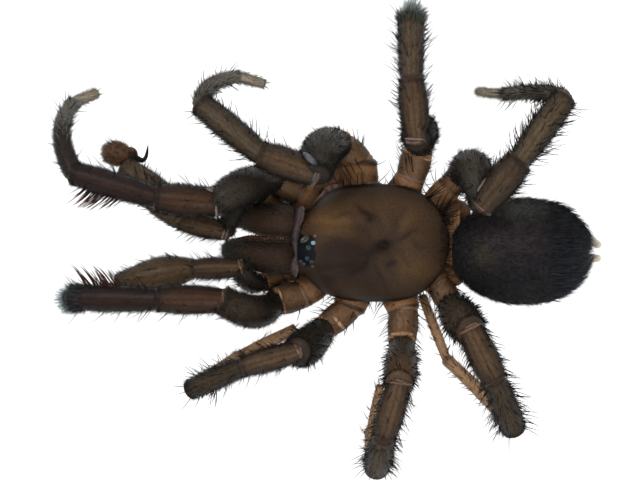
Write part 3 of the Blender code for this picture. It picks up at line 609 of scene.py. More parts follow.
for hand, inner in (("right", 1), ("left", -1)):
    share = np.linspace(0, 1, 40)[:, None]
    turn = around(96)
    rings = jaw_surface(hand, share, turn)
    tint = painted(rings.shape, JAW_BROWN) * JAW_SHADES[hand]
    # Painted shade on the jaw's sides, where they turn away from the light
    tint = shaded(tint, 0.7 * np.cos(turn) ** 2, JAW_SIDE_SHADE)
    # A painted highlight along the upper inner edge of the jaw
    ridge = math.pi * (0.5 - 0.36 * inner)
    tint = shaded(tint, 0.8 * hill(turn - ridge, 0.1) * smooth_step(share / 0.1), JAW_RIDGE_HIGHLIGHT)
    tint = shaded(tint, smooth_step((share - 0.72) / 0.25), JAW_TIP)
    jaw = closed_tube(rings[:, ::-1], tint[:, ::-1], f"chelicera_{hand}_skin", jaw_finish)
    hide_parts(f"chelicera_{hand}")

    if hand == "left":
        share = np.linspace(0.0, 0.66, 60)
        spine = jaw_surface(hand, share, math.pi * np.ones(60)) + np.array((-0.035, 0, 0.15))
        size = 0.1 * smooth_step((share + 0.03) / 0.05) * smooth_step((0.66 - share) / 0.25)
        size = size * (1 + 0.25 * np.sin(share * 190)) + 0.004
        rings = hoops(spine, size, size, 12)
        tint = painted(rings.shape, TOOTH_RED, (0.5 + 0.5 * np.sin(share * 130)[:, None], LIP_TAN))
        lip = closed_tube(rings[:, ::-1], tint[:, ::-1], "chelicera_left_lip", tooth_finish)

    count = 46
    gum = math.pi * (0.5 - 0.4 * inner)
    roots = jaw_surface(hand, np.linspace(0.12, 0.92, count), gum + chance.uniform(-0.2, 0.2, count))
    aims = unit(np.array((inner * 0.9, -0.3, 0.2)) + chance.normal(0, 0.2, (count, 3)))
    # About a third of the teeth are pale as painted glints among the reddish ones
    colours = np.where(chance.random((count, 1)) < 0.3, linear(TOOTH_GLINT), linear(TOOTH_RED))
    teeth = hairs(f"chelicera_{hand}_teeth", roots, aims, (0, 0, 0), chance.uniform(0.08, 0.17, count), 0.04,
                  colours=colours, finish=tooth_finish, sink=0.04)

    coat = []
    for k in range(3200):
        part = 1 - chance.random() ** 1.6 * 0.95
        spin = chance.uniform(0, math.tau)
        root = jaw_surface(hand, np.array(part), np.array(spin))
        middle_x, middle_y, _, low, high = along_route(JAWS[hand], np.array(part))
        out = unit(root - (middle_x, middle_y, (low + high) / 2))
        aim = unit(out * 0.55 + (0, -0.75, -0.1875) + chance.normal(0, 0.12, 3))
        if part >= 0.5 or chance.random() >= 0.6:
            length = chance.uniform(0.06, 0.16) + 0.2 * (chance.random() < 0.06)
            coat.append((*root, *aim, length, spin / math.tau, part))
    coat = np.array(coat)
    places = on_unwrap(coat[:, 7], coat[:, 8], margin=0.01)
    frosting = 1 + 0.9 * smooth_step((places[:, 1:] - 0.78) / 0.15)
    hair = hairs(f"chelicera_{hand}_coat", coat[:, :3], coat[:, 3:6], (0, -0.1, -0.1), coat[:, 6], 0.007,
                 places, linear(JAW_FROST) * varied(len(coat)) * frosting, sink=0.015)

    share = np.linspace(0, 1, 24)
    spine = along_route(FANG_ROUTE, share) + (JAWS[hand][4][0], 0, 0)
    rings = pipe(spine, np.interp(share, np.linspace(0, 1, 5), FANG_SIZES), 20, across=np.array((1.0, 0, 0)))
    fang = closed_tube(rings[:, ::-1], painted(rings.shape, FANG_BLACK), f"fang_{hand}_skin", fang_finish)
    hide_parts(f"fang_{hand}")

# The collar: folded pale skin between the shield's front edge and the jaws
share = np.linspace(0, 1, 80)[:, None]
turn = around(32)
back = np.interp(share, (0, 0.18, 0.29, 0.44, 0.69, 1), (-0.74, -0.8, -0.9, -0.94, -0.97, -0.97))
front = np.interp(
    share, (0, 0.18, 0.44, 0.55, 0.69, 0.81, 0.95, 1), (-1.1, -1.2, -1.29, -1.26, -1.2, -1.36, -1.36, -1.26)
)
high = 2.52 + 0.14 * np.sin(math.pi * share) - 0.1 * hill(share - 0.54, 0.06)
fold = 0.02 * np.sin(share * 57) * np.sin(share * 23)
end = np.minimum(1, np.minimum(share / 0.05, (1 - share) / 0.12)) ** 0.6
y = (back + front) / 2 + ((back - front) / 2 + fold) * np.cos(turn) * end
z = (high + 1.15) / 2 + (high - 1.15) / 2 * np.sign(np.sin(turn)) * np.abs(np.sin(turn)) ** 0.6 * end
rings = xyz(-1.28 + 2.58 * share, y, z)
# Painted shade in the streaks of the folds, and a painted highlight along the crest
streaks = 0.5 + 0.5 * np.sin(share * 41 + np.sin(share * 17) * 2)
gap = 0.6 * hill(share - 0.69, 0.05)
front = 0.7 * smooth_step(-np.cos(turn) + 0.1) * (0.7 + 0.3 * np.sin(share * 70))
lit_crest = 0.8 * hill(turn - 0.85, 0.2) * (0.75 + 0.25 * np.sin(share * 60))
tint = painted(rings.shape, MEMBRANE_PINK, *zip((0.6 * streaks, gap, front, lit_crest), COLLAR_COLOURS))
collar = closed_tube(rings, tint, "jaw_membrane_skin", membrane_finish)
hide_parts("jaw_membrane")

# Soft pale skin bulges out from under the right side of the shield's rim
share = np.linspace(0.05, 0.56, 70)
spine = shield_points(share, -1.0 * np.ones(70)) + np.array((0.04, 0, -0.08))
swell = np.sin(math.pi * np.clip((share - 0.05) / 0.51, 0, 1)) ** 0.5
bulge = 0.2 * swell * (1 + 0.2 * np.sin(share * 40)) + 0.01
turn = around(16)
across = unit(np.cross(unit(np.gradient(spine, axis=0)), UP))
rings = spine[:, None] + across[:, None] * (bulge[:, None] * np.cos(turn))[..., None]
rings = rings + np.array((0, 0, 0.06)) * np.sin(turn)[None, :, None]
streaks = 0.5 + 0.5 * np.sin(share * 90 + 2 * np.sin(share * 31))[:, None]
tint = painted(rings.shape, SIDE_MAUVE, (streaks, SIDE_BROWN))
side_skin = closed_tube(rings[:, ::-1], tint[:, ::-1], "side_skin", membrane_finish)


# Breastplate and waist
# The breastplate is an oval plate under the body, with soft side walls up to the shield. Behind it a narrow
# waist of softer orange-brown skin carries the abdomen.
BREAST_HALF = (1.1, 2.15)
BREAST_TOP_Z = 1.29
BREAST_ORANGE = (118, 68, 38)
WAIST_TAN = (206, 156, 106)
WAIST_BROWN = (140, 90, 56)

level = np.array((0.0, 0.0, 0.015, 0.05, 0.12, 0.3, 0.55, 0.8, 1.0, 1.2, BREAST_TOP_Z, BREAST_TOP_Z))[:, None]
size = np.array((0.4, 0.8, 0.87, 0.92, 0.96, 0.99, 1.0, 0.99, 1.0, 1.0, 1.0, 0.4))[:, None]
x, y = (BREAST[k] + BREAST_HALF[k] * size * wave(around(96)) for k, wave in enumerate((np.cos, np.sin)))
rings = xyz(x, y, level)
tint = painted(rings.shape, BREAST_ORANGE, (hill(level - 0.9, 0.35), MEMBRANE_PINK))
leg_finish = cuticle("leg cuticle", 0.42, 9000, 0.4, 0.25)
breast = closed_tube(rings, tint, "breastplate_skin", leg_finish)
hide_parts("breastplate")

share = np.linspace(0, 1, 30)
spine = along_route([(0.12, 3.5, 0.95), (0.06, 4.15, 1.0), (-0.06, 4.8, 1.1)], share)
wide = np.interp(share, (0, 0.5, 1), (0.5, 0.75, 1.12))
tall = np.interp(share, (0, 0.5, 1), (0.26, 0.28, 0.34))
rings = hoops(spine, wide, tall, 28)
tint = painted(rings.shape, WAIST_TAN, (0.35 + 0.35 * np.sin(share * 60)[:, None], WAIST_BROWN))
waist = closed_tube(rings, tint, "pedicel_skin", membrane_finish)
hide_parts("pedicel")


# Abdomen
# The abdomen is a soft egg-shaped bag of dark purplish skin, creased across, under a dense coat of short
# black hairs that all lie backwards. A faint paler plate shows near its front.
ABDOMEN_X = 0.35
ABDOMEN_HALF_WIDTH = 1.9
ABDOMEN_HALF_HEIGHT = 1.78
ABDOMEN_FRONT_Y = 4.44
ABDOMEN_REAR_Y = 9.31
ABDOMEN_Z = 1.66
ABDOMEN_BLACK = (34, 31, 33)
ABDOMEN_OLIVE = (60, 54, 44)
# Painted sheens: purplish down the back, grey high on the right side
ABDOMEN_PURPLE_SHEEN = (60, 48, 52)
ABDOMEN_GREY_SHEEN = (88, 88, 82)
# Colours of the coat, of the longer bristles in it, and of those round the spinnerets
ABDOMEN_HAIRS = ((32, 31, 33), (22, 21, 22), (38, 40, 46))


def abdomen_surface(turn, spin):
    """Points of the abdomen: turn runs from its front to its rear, spin goes round it"""
    share = (1 - np.cos(turn)) / 2
    size = np.sin(turn) ** 0.86 * (0.92 + 0.1 * share)
    size = size * (1 - 0.05 * hill(share - 0.95, 0.12) - 0.05 * hill(share - 0.06, 0.12))
    size = size * (1 + 0.006 * np.sin(share * 46 + 1.5 * np.sin(spin * 3)) * np.sin(turn))
    x = ABDOMEN_X + ABDOMEN_HALF_WIDTH * size * np.cos(spin)
    y = ABDOMEN_FRONT_Y + (ABDOMEN_REAR_Y - ABDOMEN_FRONT_Y) * share
    z = ABDOMEN_Z + 0.06 * np.sin(math.pi * share) + ABDOMEN_HALF_HEIGHT * size * np.sin(spin)
    return xyz(x, y, np.maximum(z, 0.004))


def abdomen_tint(points, colour):
    """The abdomen's colours on a base colour: an olive plate in front, a painted purplish sheen down the back
    and a painted grey sheen high on the right side
    """
    x, y, z = np.moveaxis(points, -1, 0)
    back = smooth_step((z - 2) / 0.6)
    return painted(
        points.shape, colour,
        (0.6 * hill(x + 0.1, 0.75) * hill(y - 6.5, 1.1) * back, ABDOMEN_PURPLE_SHEEN),
        (0.8 * hill(x + 1.15, 0.4) * hill(y - 6.8, 0.8) * smooth_step((z - 1.8) / 0.5), ABDOMEN_GREY_SHEEN),
        (0.9 * hill(x - 0.52, 0.42) * hill(y - 5.55, 0.42) * back, ABDOMEN_OLIVE),
    )


rings = abdomen_surface(np.linspace(0.04, math.pi - 0.04, 110)[:, None], around(120))
tint = abdomen_tint(rings, ABDOMEN_BLACK)
abdomen_finish = cuticle("abdomen skin", 0.6, 5200, 0.9, 0.3)
abdomen = closed_tube(rings[:, ::-1], tint[:, ::-1], "abdomen_skin", abdomen_finish)
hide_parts("abdomen")


def coat_of_abdomen(name, count, shortest, longest, thickness, lean, colour, levels, first=0.0):
    """Hairs over the whole bag, or only from a share of its length on, lying towards its rear"""
    turn = np.arccos(1 - 2 * (0.01 + 0.98 * chance.uniform(first, 1.0, count)))
    spin = chance.uniform(0, math.tau, count)
    roots = abdomen_surface(turn, spin)
    step = 0.02
    back = unit(abdomen_surface(np.minimum(turn + step, math.pi - 0.01), spin) - roots)
    out = unit(np.cross(back, abdomen_surface(turn, spin + step) - roots))
    out = out * np.sign(((roots - np.array((ABDOMEN_X, 6.9, ABDOMEN_Z))) * out).sum(axis=1))[:, None]
    aims = unit(out * (1 - lean) + back * lean + chance.normal(0, 0.13, (count, 3)))
    lengths = chance.uniform(shortest, longest, count)
    keep = (roots[:, 2] + aims[:, 2] * lengths > 0.03) & (roots[:, 2] > 0.08)
    columns = (roots, aims, back * 0.2 - out * 0.1, lengths, on_unwrap(spin / math.tau, turn / math.pi))
    roots, aims, bends, lengths, places = (column[keep] for column in columns)
    # The hairs take the olive plate and the painted sheens of the skin below them
    colours = abdomen_tint(roots, colour) * varied(len(roots))
    coat = hairs(name, roots, aims, bends, lengths, thickness, places, colours, abdomen_hair, levels,
                 sink=0.02)


abdomen_hair = cuticle("abdomen hair", 0.5, 14000, 0.0, 0.25)
coat_of_abdomen("abdomen_coat", 21500, 0.1, 0.22, 0.006, 0.45, ABDOMEN_HAIRS[0], 2)
coat_of_abdomen("abdomen_bristles", 3000, 0.18, 0.36, 0.009, 0.55, ABDOMEN_HAIRS[1], 3)
coat_of_abdomen("abdomen_rear_bristles", 1800, 0.3, 0.6, 0.012, 0.66, ABDOMEN_HAIRS[2], 3, first=0.7)


# Spinnerets
# Two short jointed fingers of pale soft skin stick out behind the abdomen, where the silk comes out.
SPINNERET_TAN = (224, 210, 188)
SPINNERET_BROWN = (120, 96, 76)
spinneret_finish = cuticle("pale cuticle", 0.5, 8000, 0.5, 0.18)
for hand, route in (
    ("right", ((-0.06, 8.75, 0.85), (-0.13, 9.1, 0.98), (-0.03, 9.45, 1.14), (0.2, 9.78, 1.32))),
    ("left", ((0.6, 8.8, 0.85), (0.6, 9.1, 0.98), (0.6, 9.45, 1.12), (0.6, 9.78, 1.27))),
):
    share = np.linspace(0, 1, 36)
    size = np.interp(
        share, (0, 0.3, 0.56, 0.6, 0.64, 0.9, 0.97, 1), (0.2, 0.2, 0.18, 0.14, 0.16, 0.13, 0.1, 0.03)
    )
    rings = pipe(along_route(route, share), size, 24)
    base = 0.55 * smooth_step((0.6 - share) / 0.3)[:, None]
    tint = painted(rings.shape, SPINNERET_TAN, (base, SPINNERET_BROWN))
    finger = closed_tube(rings[:, ::-1], tint[:, ::-1], f"spinneret_{hand}_skin", spinneret_finish)
    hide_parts(f"spinneret_{hand}")


# Legs
# Each leg is a row of seven hard tubes joined by soft pale skin: coxa, trochanter, femur, patella, tibia,
# metatarsus and tarsus. They arch up from the body and curl under at the feet, and all are hairy.

# Where each leg's tubes begin and end, from the hip to the foot's tip, the places through which the femur and
# the metatarsus are bowed, and the half width of each tube
LEGS = {
    "leg_1_right": (
        ((-0.84, 0.21, 0.7), (-1.69, -1.0, 0.95), (-2.2, -1.9, 1.3), (-1.35, -3.8, 4.1), (-1.55, -6.04, 4.1),
         (-2.42, -8.98, 3.5), (-4.95, -8.98, 2.4), (-5.28, -8.2, 2.0)),
        ((-1.98, -2.9, 3.6), (-3.85, -9.42, 2.9)), (0.56, 0.48, 0.62, 0.57, 0.46, 0.3, 0.2),
    ),
    "leg_2_right": (
        ((-0.98, 1.0, 0.7), (-2.85, 1.15, 0.95), (-3.45, 0.48, 1.35), (-2.4, -0.42, 4.35),
         (-3.08, -2.33, 4.4), (-4.86, -4.46, 3.7), (-5.85, -3.12, 2.9), (-5.6, -2.25, 2.6)),
        ((-3.26, -0.16, 3.2), (-5.55, -4.1, 3.2)), (0.74, 0.56, 0.68, 0.56, 0.48, 0.27, 0.19),
    ),
    "leg_3_right": (
        ((-0.98, 2.35, 0.7), (-2.33, 3.0, 0.95), (-3.3, 3.28, 1.25), (-3.64, 3.18, 4.2), (-5.76, 2.98, 4.4),
         (-7.98, 2.98, 3.35), (-7.45, 3.06, 0.6), (-6.1, 3.06, 0.12)),
        ((-3.9, 3.33, 2.8), (-8.0, 3.05, 2.1)), (0.6, 0.58, 0.6, 0.52, 0.46, 0.25, 0.17),
    ),
    "leg_4_right": (
        ((-0.78, 3.45, 0.7), (-1.95, 4.36, 0.95), (-2.35, 4.78, 1.3), (-1.28, 5.5, 4.2), (-2.83, 6.79, 4.3),
         (-5.08, 8.42, 3.6), (-5.24, 6.29, 1.3), (-5.35, 5.4, 0.12)),
        ((-2.55, 5.2, 3.0), (-5.3, 7.5, 2.7)), (0.54, 0.48, 0.66, 0.59, 0.49, 0.26, 0.16),
    ),
    "leg_1_left": (
        ((0.94, 0.21, 0.7), (1.9, -0.92, 0.95), (2.15, -1.9, 1.3), (2.08, -3.72, 3.95), (2.05, -6.01, 4.0),
         (2.0, -9.08, 3.0), (2.12, -8.57, 0.45), (2.01, -7.29, 0.12)),
        ((2.5, -2.56, 3.2), (2.1, -9.0, 1.8)), (0.6, 0.56, 0.56, 0.52, 0.47, 0.27, 0.17),
    ),
    "leg_2_left": (
        ((1.08, 1.2, 0.7), (2.36, 0.8, 0.95), (3.12, -0.14, 1.25), (3.89, -1.03, 4.0), (4.43, -2.99, 4.0),
         (5.26, -4.84, 2.8), (4.11, -3.16, 0.5), (3.12, -1.15, 0.12)),
        ((3.66, -0.66, 3.0), (4.85, -4.2, 1.8)), (0.66, 0.52, 0.62, 0.45, 0.4, 0.27, 0.22),
    ),
    "leg_3_left": (
        ((1.08, 2.31, 0.7), (2.44, 2.74, 0.95), (3.62, 2.67, 1.25), (5.0, 2.56, 4.1), (6.95, 2.02, 3.9),
         (8.12, 1.74, 2.3), (6.75, 1.56, 0.4), (5.15, 1.9, 0.12)),
        ((4.45, 2.63, 3.0), (7.65, 1.6, 1.3)), (0.66, 0.56, 0.6, 0.5, 0.48, 0.25, 0.17),
    ),
    "leg_4_left": (
        ((0.88, 3.48, 0.7), (1.58, 4.02, 0.95), (2.3, 4.45, 1.25), (3.1, 5.06, 4.0), (4.92, 5.95, 4.0),
         (6.68, 6.64, 2.5), (4.21, 4.27, 0.5), (1.95, 3.4, 0.12)),
        ((2.7, 4.72, 3.0), (5.65, 5.75, 1.5)), (0.56, 0.5, 0.66, 0.54, 0.48, 0.25, 0.18),
    ),
}

# Half width along each tube, as shares of its greatest
SWELL = {
    "coxa": ((0, 0.72), (0.35, 0.95), (0.75, 1.0), (1, 0.85)),
    "trochanter": ((0, 0.9), (0.5, 1.0), (1, 0.85)),
    "femur": ((0, 0.66), (0.22, 0.88), (0.5, 1.0), (0.78, 0.98), (1, 0.82)),
    "patella": ((0, 0.78), (0.3, 0.96), (0.7, 1.0), (1, 0.8)),
    "tibia": ((0, 0.8), (0.3, 0.96), (0.7, 1.0), (1, 0.84)),
    "metatarsus": ((0, 1.2), (0.3, 1.05), (0.6, 1.0), (1, 0.76)),
    "tarsus": ((0, 0.96), (0.5, 1.0), (1, 0.8)),
    "pale_foot": ((0, 0.9), (0.5, 1.0), (1, 0.85)),
    "palp_tibia": ((0, 0.58), (0.25, 0.88), (0.5, 1.0), (0.75, 0.88), (1, 0.6)),
}
DEPTH = {"coxa": 0.85, "trochanter": 0.9, "femur": 1.0, "patella": 0.95, "tibia": 0.95, "palp_tibia": 0.95}

# Colour of each tube: along its back, paler as painted light from above; on its flanks, darker as painted
# shade and with their fringe of dark hair; and at its far rim. The coxa's orange is partly its own colour and
# partly a painted glow of light shining through its thin cuticle.
COLOURS = {
    "coxa": ((122, 88, 56), (80, 54, 35), (140, 100, 66)),
    "trochanter": ((118, 88, 62), (70, 52, 38), (178, 128, 84)),
    "femur": ((50, 45, 38), (28, 25, 23), (84, 56, 38)),
    "patella": ((86, 65, 45), (24, 20, 17), (50, 34, 25)),
    "tibia": ((82, 67, 49), (24, 21, 19), (40, 30, 24)),
    "metatarsus": ((92, 82, 68), (50, 45, 38), (88, 78, 64)),
    "tarsus": ((162, 150, 130), (116, 104, 88), (104, 90, 74)),
    "pale_foot": ((176, 138, 102), (128, 96, 70), (112, 84, 62)),
    "palp_tibia": ((92, 73, 51), (56, 44, 32), (62, 47, 34)),
}
# The reddish front legs' colours, with the same painted light on the back and painted shade on the flanks
RED_COLOURS = {
    "patella": ((76, 50, 33), (16, 14, 13), (30, 20, 16)),
    "tibia": ((52, 32, 25), (14, 14, 15), (26, 19, 17)),
    "metatarsus": ((50, 37, 32), (24, 21, 21), (30, 24, 22)),
}
# Colour of the thigh's rim at the knee, and the legs where it is browner
FEMUR_RIM = (36, 28, 22)
FEMUR_RIMS = {
    "leg_1_right": (62, 50, 37), "leg_1_left": (72, 52, 36), "leg_2_left": (48, 36, 28),
    "leg_3_left": (88, 64, 46), "leg_4_left": (66, 47, 34),
}
# Soft skin at each joint from the hip on: its colour, and its width as a share of the narrower tube's
JOINT_PINK = (132, 104, 88)
JOINT_DARK = (44, 32, 26)
FOOT_GREY = (112, 102, 88)
JOINT_ORANGE = (176, 122, 80)
JOINT_COLOURS = (JOINT_PINK, JOINT_ORANGE, JOINT_PINK, JOINT_DARK, JOINT_DARK, FOOT_GREY)
JOINT_SIZES = (1.0, 1.06, 0.62, 0.93, 0.93, 0.93)
KNEE_MAUVE = (132, 114, 110)
FOLD_BROWN = (84, 60, 48)
HIP_RIM = (48, 30, 20)
PLAIN_LOOKS = dict(red=False, shade=1.0, rim=FEMUR_RIM, taper=0.0, blush=0.0)


def limb_joints(kinds, stations, bows, widths, looks):
    """What each tube of a limb is made from: its ends, bow, side direction and width. The first starts
    inside the body."""
    stations = np.array(stations, float)
    stations[0] -= unit(stations[1] - stations[0]) * 0.25
    joints = []
    for k, (kind, start, end) in enumerate(zip(kinds, stations, stations[1:])):
        pull = np.array(bows.get(k, (start + end) / 2)) * 2 - (start + end) / 2
        side = np.cross(unit((end - start) * (1, 1, 0)), UP)
        form = dict(kind=kind, start=start, end=end, pull=pull, side=side, half=widths[k])
        joints.append({**PLAIN_LOOKS, **form, **looks.get(kind, {})})
    return joints


def station(joint, share):
    """Centre, directions and half sizes of a tube at places along it"""
    share = np.asarray(share, float)[..., None]
    rest = 1 - share
    inside = np.clip(share, 0, 1)
    centre = joint["start"] * rest**2 + joint["pull"] * 2 * rest * share + joint["end"] * share**2
    along = unit((joint["pull"] - joint["start"]) * (1 - inside) + (joint["end"] - joint["pull"]) * inside)
    across = unit(joint["side"] - along * (along * joint["side"]).sum(axis=-1, keepdims=True))
    over = np.cross(across, along)
    knots = np.array(SWELL[joint["kind"]])
    width = 0
    for shift, weight in ((-0.1, 0.25), (0, 0.5), (0.1, 0.25)):
        width = width + weight * np.interp(np.clip(share[..., 0] + shift, 0, 1), knots[:, 0], knots[:, 1])
    width = width * joint["half"] * (1 - joint["taper"] * inside[..., 0] ** 3)
    return centre, along, across, over, width, width * DEPTH.get(joint["kind"], 1.0)


def tube_point(joint, share, turn):
    """A point on a tube: turn 0 is the side towards the limb's right, and a quarter turn on is its back"""
    centre, along, across, over, width, height = station(joint, share)
    turn = np.asarray(turn, float)
    out = across * (width * np.cos(turn))[..., None] + over * (height * np.sin(turn))[..., None]
    return centre + out, along, unit(across * np.cos(turn)[..., None] + over * np.sin(turn)[..., None])


def tube_tint(joint, share, turn, length):
    """The tube's colour: paler along the back as painted light from above, flanks darkened by painted shade,
    fine stripes, and a rim of its own. The patella starts in the pale skin of the knee."""
    kind = joint["kind"]
    back, flank, rim = (RED_COLOURS if joint["red"] else COLOURS).get(kind, COLOURS[kind])
    tint = painted((*share.shape, 3), flank)
    # Painted light: the crest of the back is lit, and the flanks stay in painted shade
    lit_crest = np.clip(np.sin(turn), 0, 1)
    tint = shaded(tint, lit_crest ** (3.0 if joint["red"] else 2.6) * (0.9 + 0.1 * np.cos(turn * 14)), back)
    if kind in ("patella", "tibia", "palp_tibia"):
        for lane in (0.22, 0.36, 0.5, 0.64, 0.78):
            wave = 0.03 * np.sin(share * 17 + lane * 40)
            tint = shaded(tint, 0.35 * hill(turn - math.pi * lane - wave, 0.045), flank)
        tint = shaded(tint, 0.35 * smooth_step((share - 0.6) / 0.5), flank)
    if kind in ("coxa", "trochanter"):
        tint = shaded(tint, 0.8 * hill(share - 0.9, 0.07) * smooth_step(np.sin(turn) + 0.4), rim)
        tint = shaded(tint, 0.8 * smooth_step((share - 0.96) / 0.03), HIP_RIM)
    elif kind == "femur":
        blush = joint["blush"] * smooth_step((share - 0.3) / 0.5)
        edge = np.maximum(0.8 * smooth_step((share - 0.93) / 0.06), blush)
        edge = (edge * (0.35 + 0.65 * lit_crest))[..., None]
        tint = tint + (linear(joint["rim"]) / joint["shade"] - tint) * edge
    else:
        tint = shaded(tint, 0.8 * smooth_step((share - 0.94) / 0.04), rim)
    tint = shaded(tint, 0.6 * smooth_step((0.05 - share) / 0.05), rim)
    if kind == "metatarsus":
        tint = shaded(tint, 0.85 * smooth_step((share - 0.45) / 0.5), FOOT_GREY)
    if kind == "patella":
        reach = 0.06 + 0.05 * np.cos(turn * 2 + 0.6) + 0.02 * np.sin(turn * 5)
        tint = shaded(tint, 0.5 * smooth_step((reach - share * length) / 0.03), KNEE_MAUVE)
    return tint * joint["shade"]


def add_tube(skin, joint, bare_start, bare_end):
    """A tube with rounded ends, kept back from its joints by bare lengths where soft skin shows"""
    rows, columns = 44, 40
    length = np.linalg.norm(joint["end"] - joint["start"])
    low, high = bare_start / length, 1 - bare_end / length
    share, turn = np.linspace(low, high, rows), around(columns)
    centre, along, across, over, width, height = station(joint, share)
    ring = across[:, None] * (width[:, None] * np.cos(turn))[..., None]
    ring = ring + over[:, None] * (height[:, None] * np.sin(turn))[..., None]
    tint = tube_tint(joint, *np.meshgrid((share - low) / (high - low), turn, indexing="ij"), length)
    cap = np.linspace(0, math.pi / 2, 6)[1:-1]
    before, after = (
        [centre[k] + along[k] * out * width[k] * math.sin(a) + ring[k] * math.cos(a) ** 0.6 for a in cap]
        for k, out in ((0, -0.3), (-1, 0.4 if joint["kind"] == "femur" else 0.3))
    )
    first = tint[8:9] if joint["kind"] == "patella" else tint[:1]
    tint = np.concatenate([first.repeat(len(cap), axis=0), tint, tint[-1:].repeat(len(cap), axis=0)])
    skin.add(np.concatenate([before[::-1], centre[:, None] + ring, after]), tint)


def add_joint_skin(skin, before, after, size, colour):
    """The soft skin between two tubes: a short pale barrel set in both of their mouths"""
    way = unit(station(before, 1.0)[1] + station(after, 0.0)[1])
    across = station(before, 1.0)[2]
    across = unit(across - way * (across * way).sum())
    ring = about(way, around(28), across=across)
    swing = np.linspace(-math.pi / 2 + 0.15, math.pi / 2 - 0.15, 14)[:, None, None]
    wrinkles = 1 + 0.03 * np.sin(swing * 14)
    rings = before["end"] + way * size * 0.3 * np.sin(swing) + ring * size * wrinkles * np.cos(swing) ** 0.5
    skin.add(rings, painted(rings.shape, colour, (0.25 + 0.25 * np.sin(swing[..., 0] * 14), FOLD_BROWN)))


def ball_rings(centre, radii, way, rows=22, columns=28):
    """Rings of an egg shape that lies along a direction"""
    way = unit(np.asarray(way, float))
    swing = np.linspace(0.06, math.pi - 0.06, rows)[:, None, None]
    ring = about(way, around(columns), radii[0], radii[2])
    return np.asarray(centre) - way * radii[1] * np.cos(swing) + ring * np.sin(swing)


# Folds of skin at the knees, browner ones and pale arcs at the hips: place, heading, half length, half width
WEBS = {
    "leg_1_right": (
        ((-1.78, -4.1, 4.15), (0.3, 0.95), 0.3, 0.13), ((-1.1, -3.92, 4.45), (1.0, 0.05), 0.25, 0.055),
    ),
    "leg_2_right": (
        ((-2.92, -0.6, 4.74), (0.69, 0.72), 0.34, 0.12), ((-2.3, -0.44, 4.7), (0.9, -0.3), 0.2, 0.07),
    ),
    "leg_3_right": (((-3.63, 3.11, 4.42), (0.05, 1.0), 0.36, 0.06),),
    "leg_4_right": (
        ((-1.99, 5.48, 4.3), (0.82, -0.57), 0.45, 0.08), ((-1.17, 5.46, 4.4), (0.65, 0.76), 0.25, 0.06),
    ),
    "leg_1_left": (((2.01, -3.68, 4.2), (1.0, 0.1), 0.28, 0.06),),
    "leg_2_left": (((3.89, -1.03, 4.18), (0.89, 0.45), 0.3, 0.06),),
    "leg_3_left": (((5.03, 2.6, 4.32), (0.1, 1.0), 0.42, 0.06),),
    "leg_4_left": (((3.09, 5.08, 4.28), (-0.45, 0.89), 0.42, 0.07),),
    "palp_right": (((-0.27, -3.68, 3.1), (0.95, -0.3), 0.22, 0.05),),
    "palp_left": (((0.92, -3.08, 2.76), (0.96, 0.27), 0.28, 0.06),),
}
HIP_FOLDS = {
    "leg_2_right": (
        ((-2.2, 0.22, 0.95), (0.8, -0.6), 0.62, 0.42), ((-1.9, -0.3, 0.9), (0.7, -0.7), 0.4, 0.25),
    ),
    "leg_4_right": (((-1.0, 4.62, 0.9), (0.2, 1.0), 0.5, 0.5),),
    "leg_4_left": (((1.1, 4.42, 0.9), (0.75, 0.6), 0.55, 0.36),),
}
HIP_ARCS = {
    "leg_1_left": (((2.11, -1.6, 1.62), (0.96, 0.27), 0.45, 0.07),),
    "leg_2_left": (((2.86, 0.39, 1.42), (0.75, 0.66), 0.34, 0.09),),
    "leg_3_left": (((3.3, 2.67, 1.62), (0.0, 1.0), 0.4, 0.1),),
    "leg_2_right": (((-3.68, 0.6, 1.75), (0.9, 0.4), 0.36, 0.07),),
    "leg_3_right": (((-2.95, 3.5, 1.35), (0.3, 1.0), 0.22, 0.09),),
    "leg_4_right": (((-2.72, 4.5, 1.65), (0.94, -0.34), 0.4, 0.07),),
    "palp_left": (((1.26, -2.3, 1.3), (0.95, 0.1), 0.27, 0.06),),
}
# Pale and dark colour of the folds at the knees, of the browner folds and of the arcs
KNEE_MAUVES = (KNEE_MAUVE, (104, 84, 78))
KNEE_GREYS = ((92, 96, 100), (70, 66, 68))
KNEE_TANS = ((136, 104, 82), (82, 58, 44))
HIP_BROWNS = ((120, 84, 54), (92, 64, 44))
ARC_PALES = ((200, 160, 126), (146, 100, 68))

# How far each tube is kept back from, or runs past, the middle of the joint at its start and at its end
BARE_START = (0.0, 0.0, -0.02, -0.1, 0.0, 0.02, 0.0)
BARE_END = (0.0, 0.0, -0.02, 0.0, -0.04, 0.0, 0.0)


def limb_skin(name, joints, forms=()):
    """A limb's tubes, joint skins, other forms and folds as one mesh"""
    skin = Skin()
    for joint, bare_start, bare_end in zip(joints, BARE_START, BARE_END):
        add_tube(skin, joint, bare_start, bare_end)
    for before, after, share, colour in zip(joints, joints[1:], JOINT_SIZES, JOINT_COLOURS):
        size = min(station(before, 1.0)[4], station(after, 0.0)[4]) * share
        add_joint_skin(skin, before, after, size, colour)
    for rings, colour in forms:
        skin.add(rings, painted(rings.shape, colour))
    knee = KNEE_TANS if name.endswith("left") else KNEE_MAUVES
    knee = KNEE_GREYS if name == "leg_2_right" else knee
    for folds, (pale, dark) in ((WEBS, knee), (HIP_FOLDS, HIP_BROWNS), (HIP_ARCS, ARC_PALES)):
        for place, heading, half_long, half_wide in folds.get(name, ()):
            rings = ball_rings(place, (half_wide, half_long, 0.25), (*heading, 0.0), rows=16, columns=20)
            folded = 0.5 + 0.5 * np.sin(rings[..., 0] * 70 + rings[..., 1] * 55)
            skin.add(rings, painted(rings.shape, pale, (folded, dark)))
    return skin


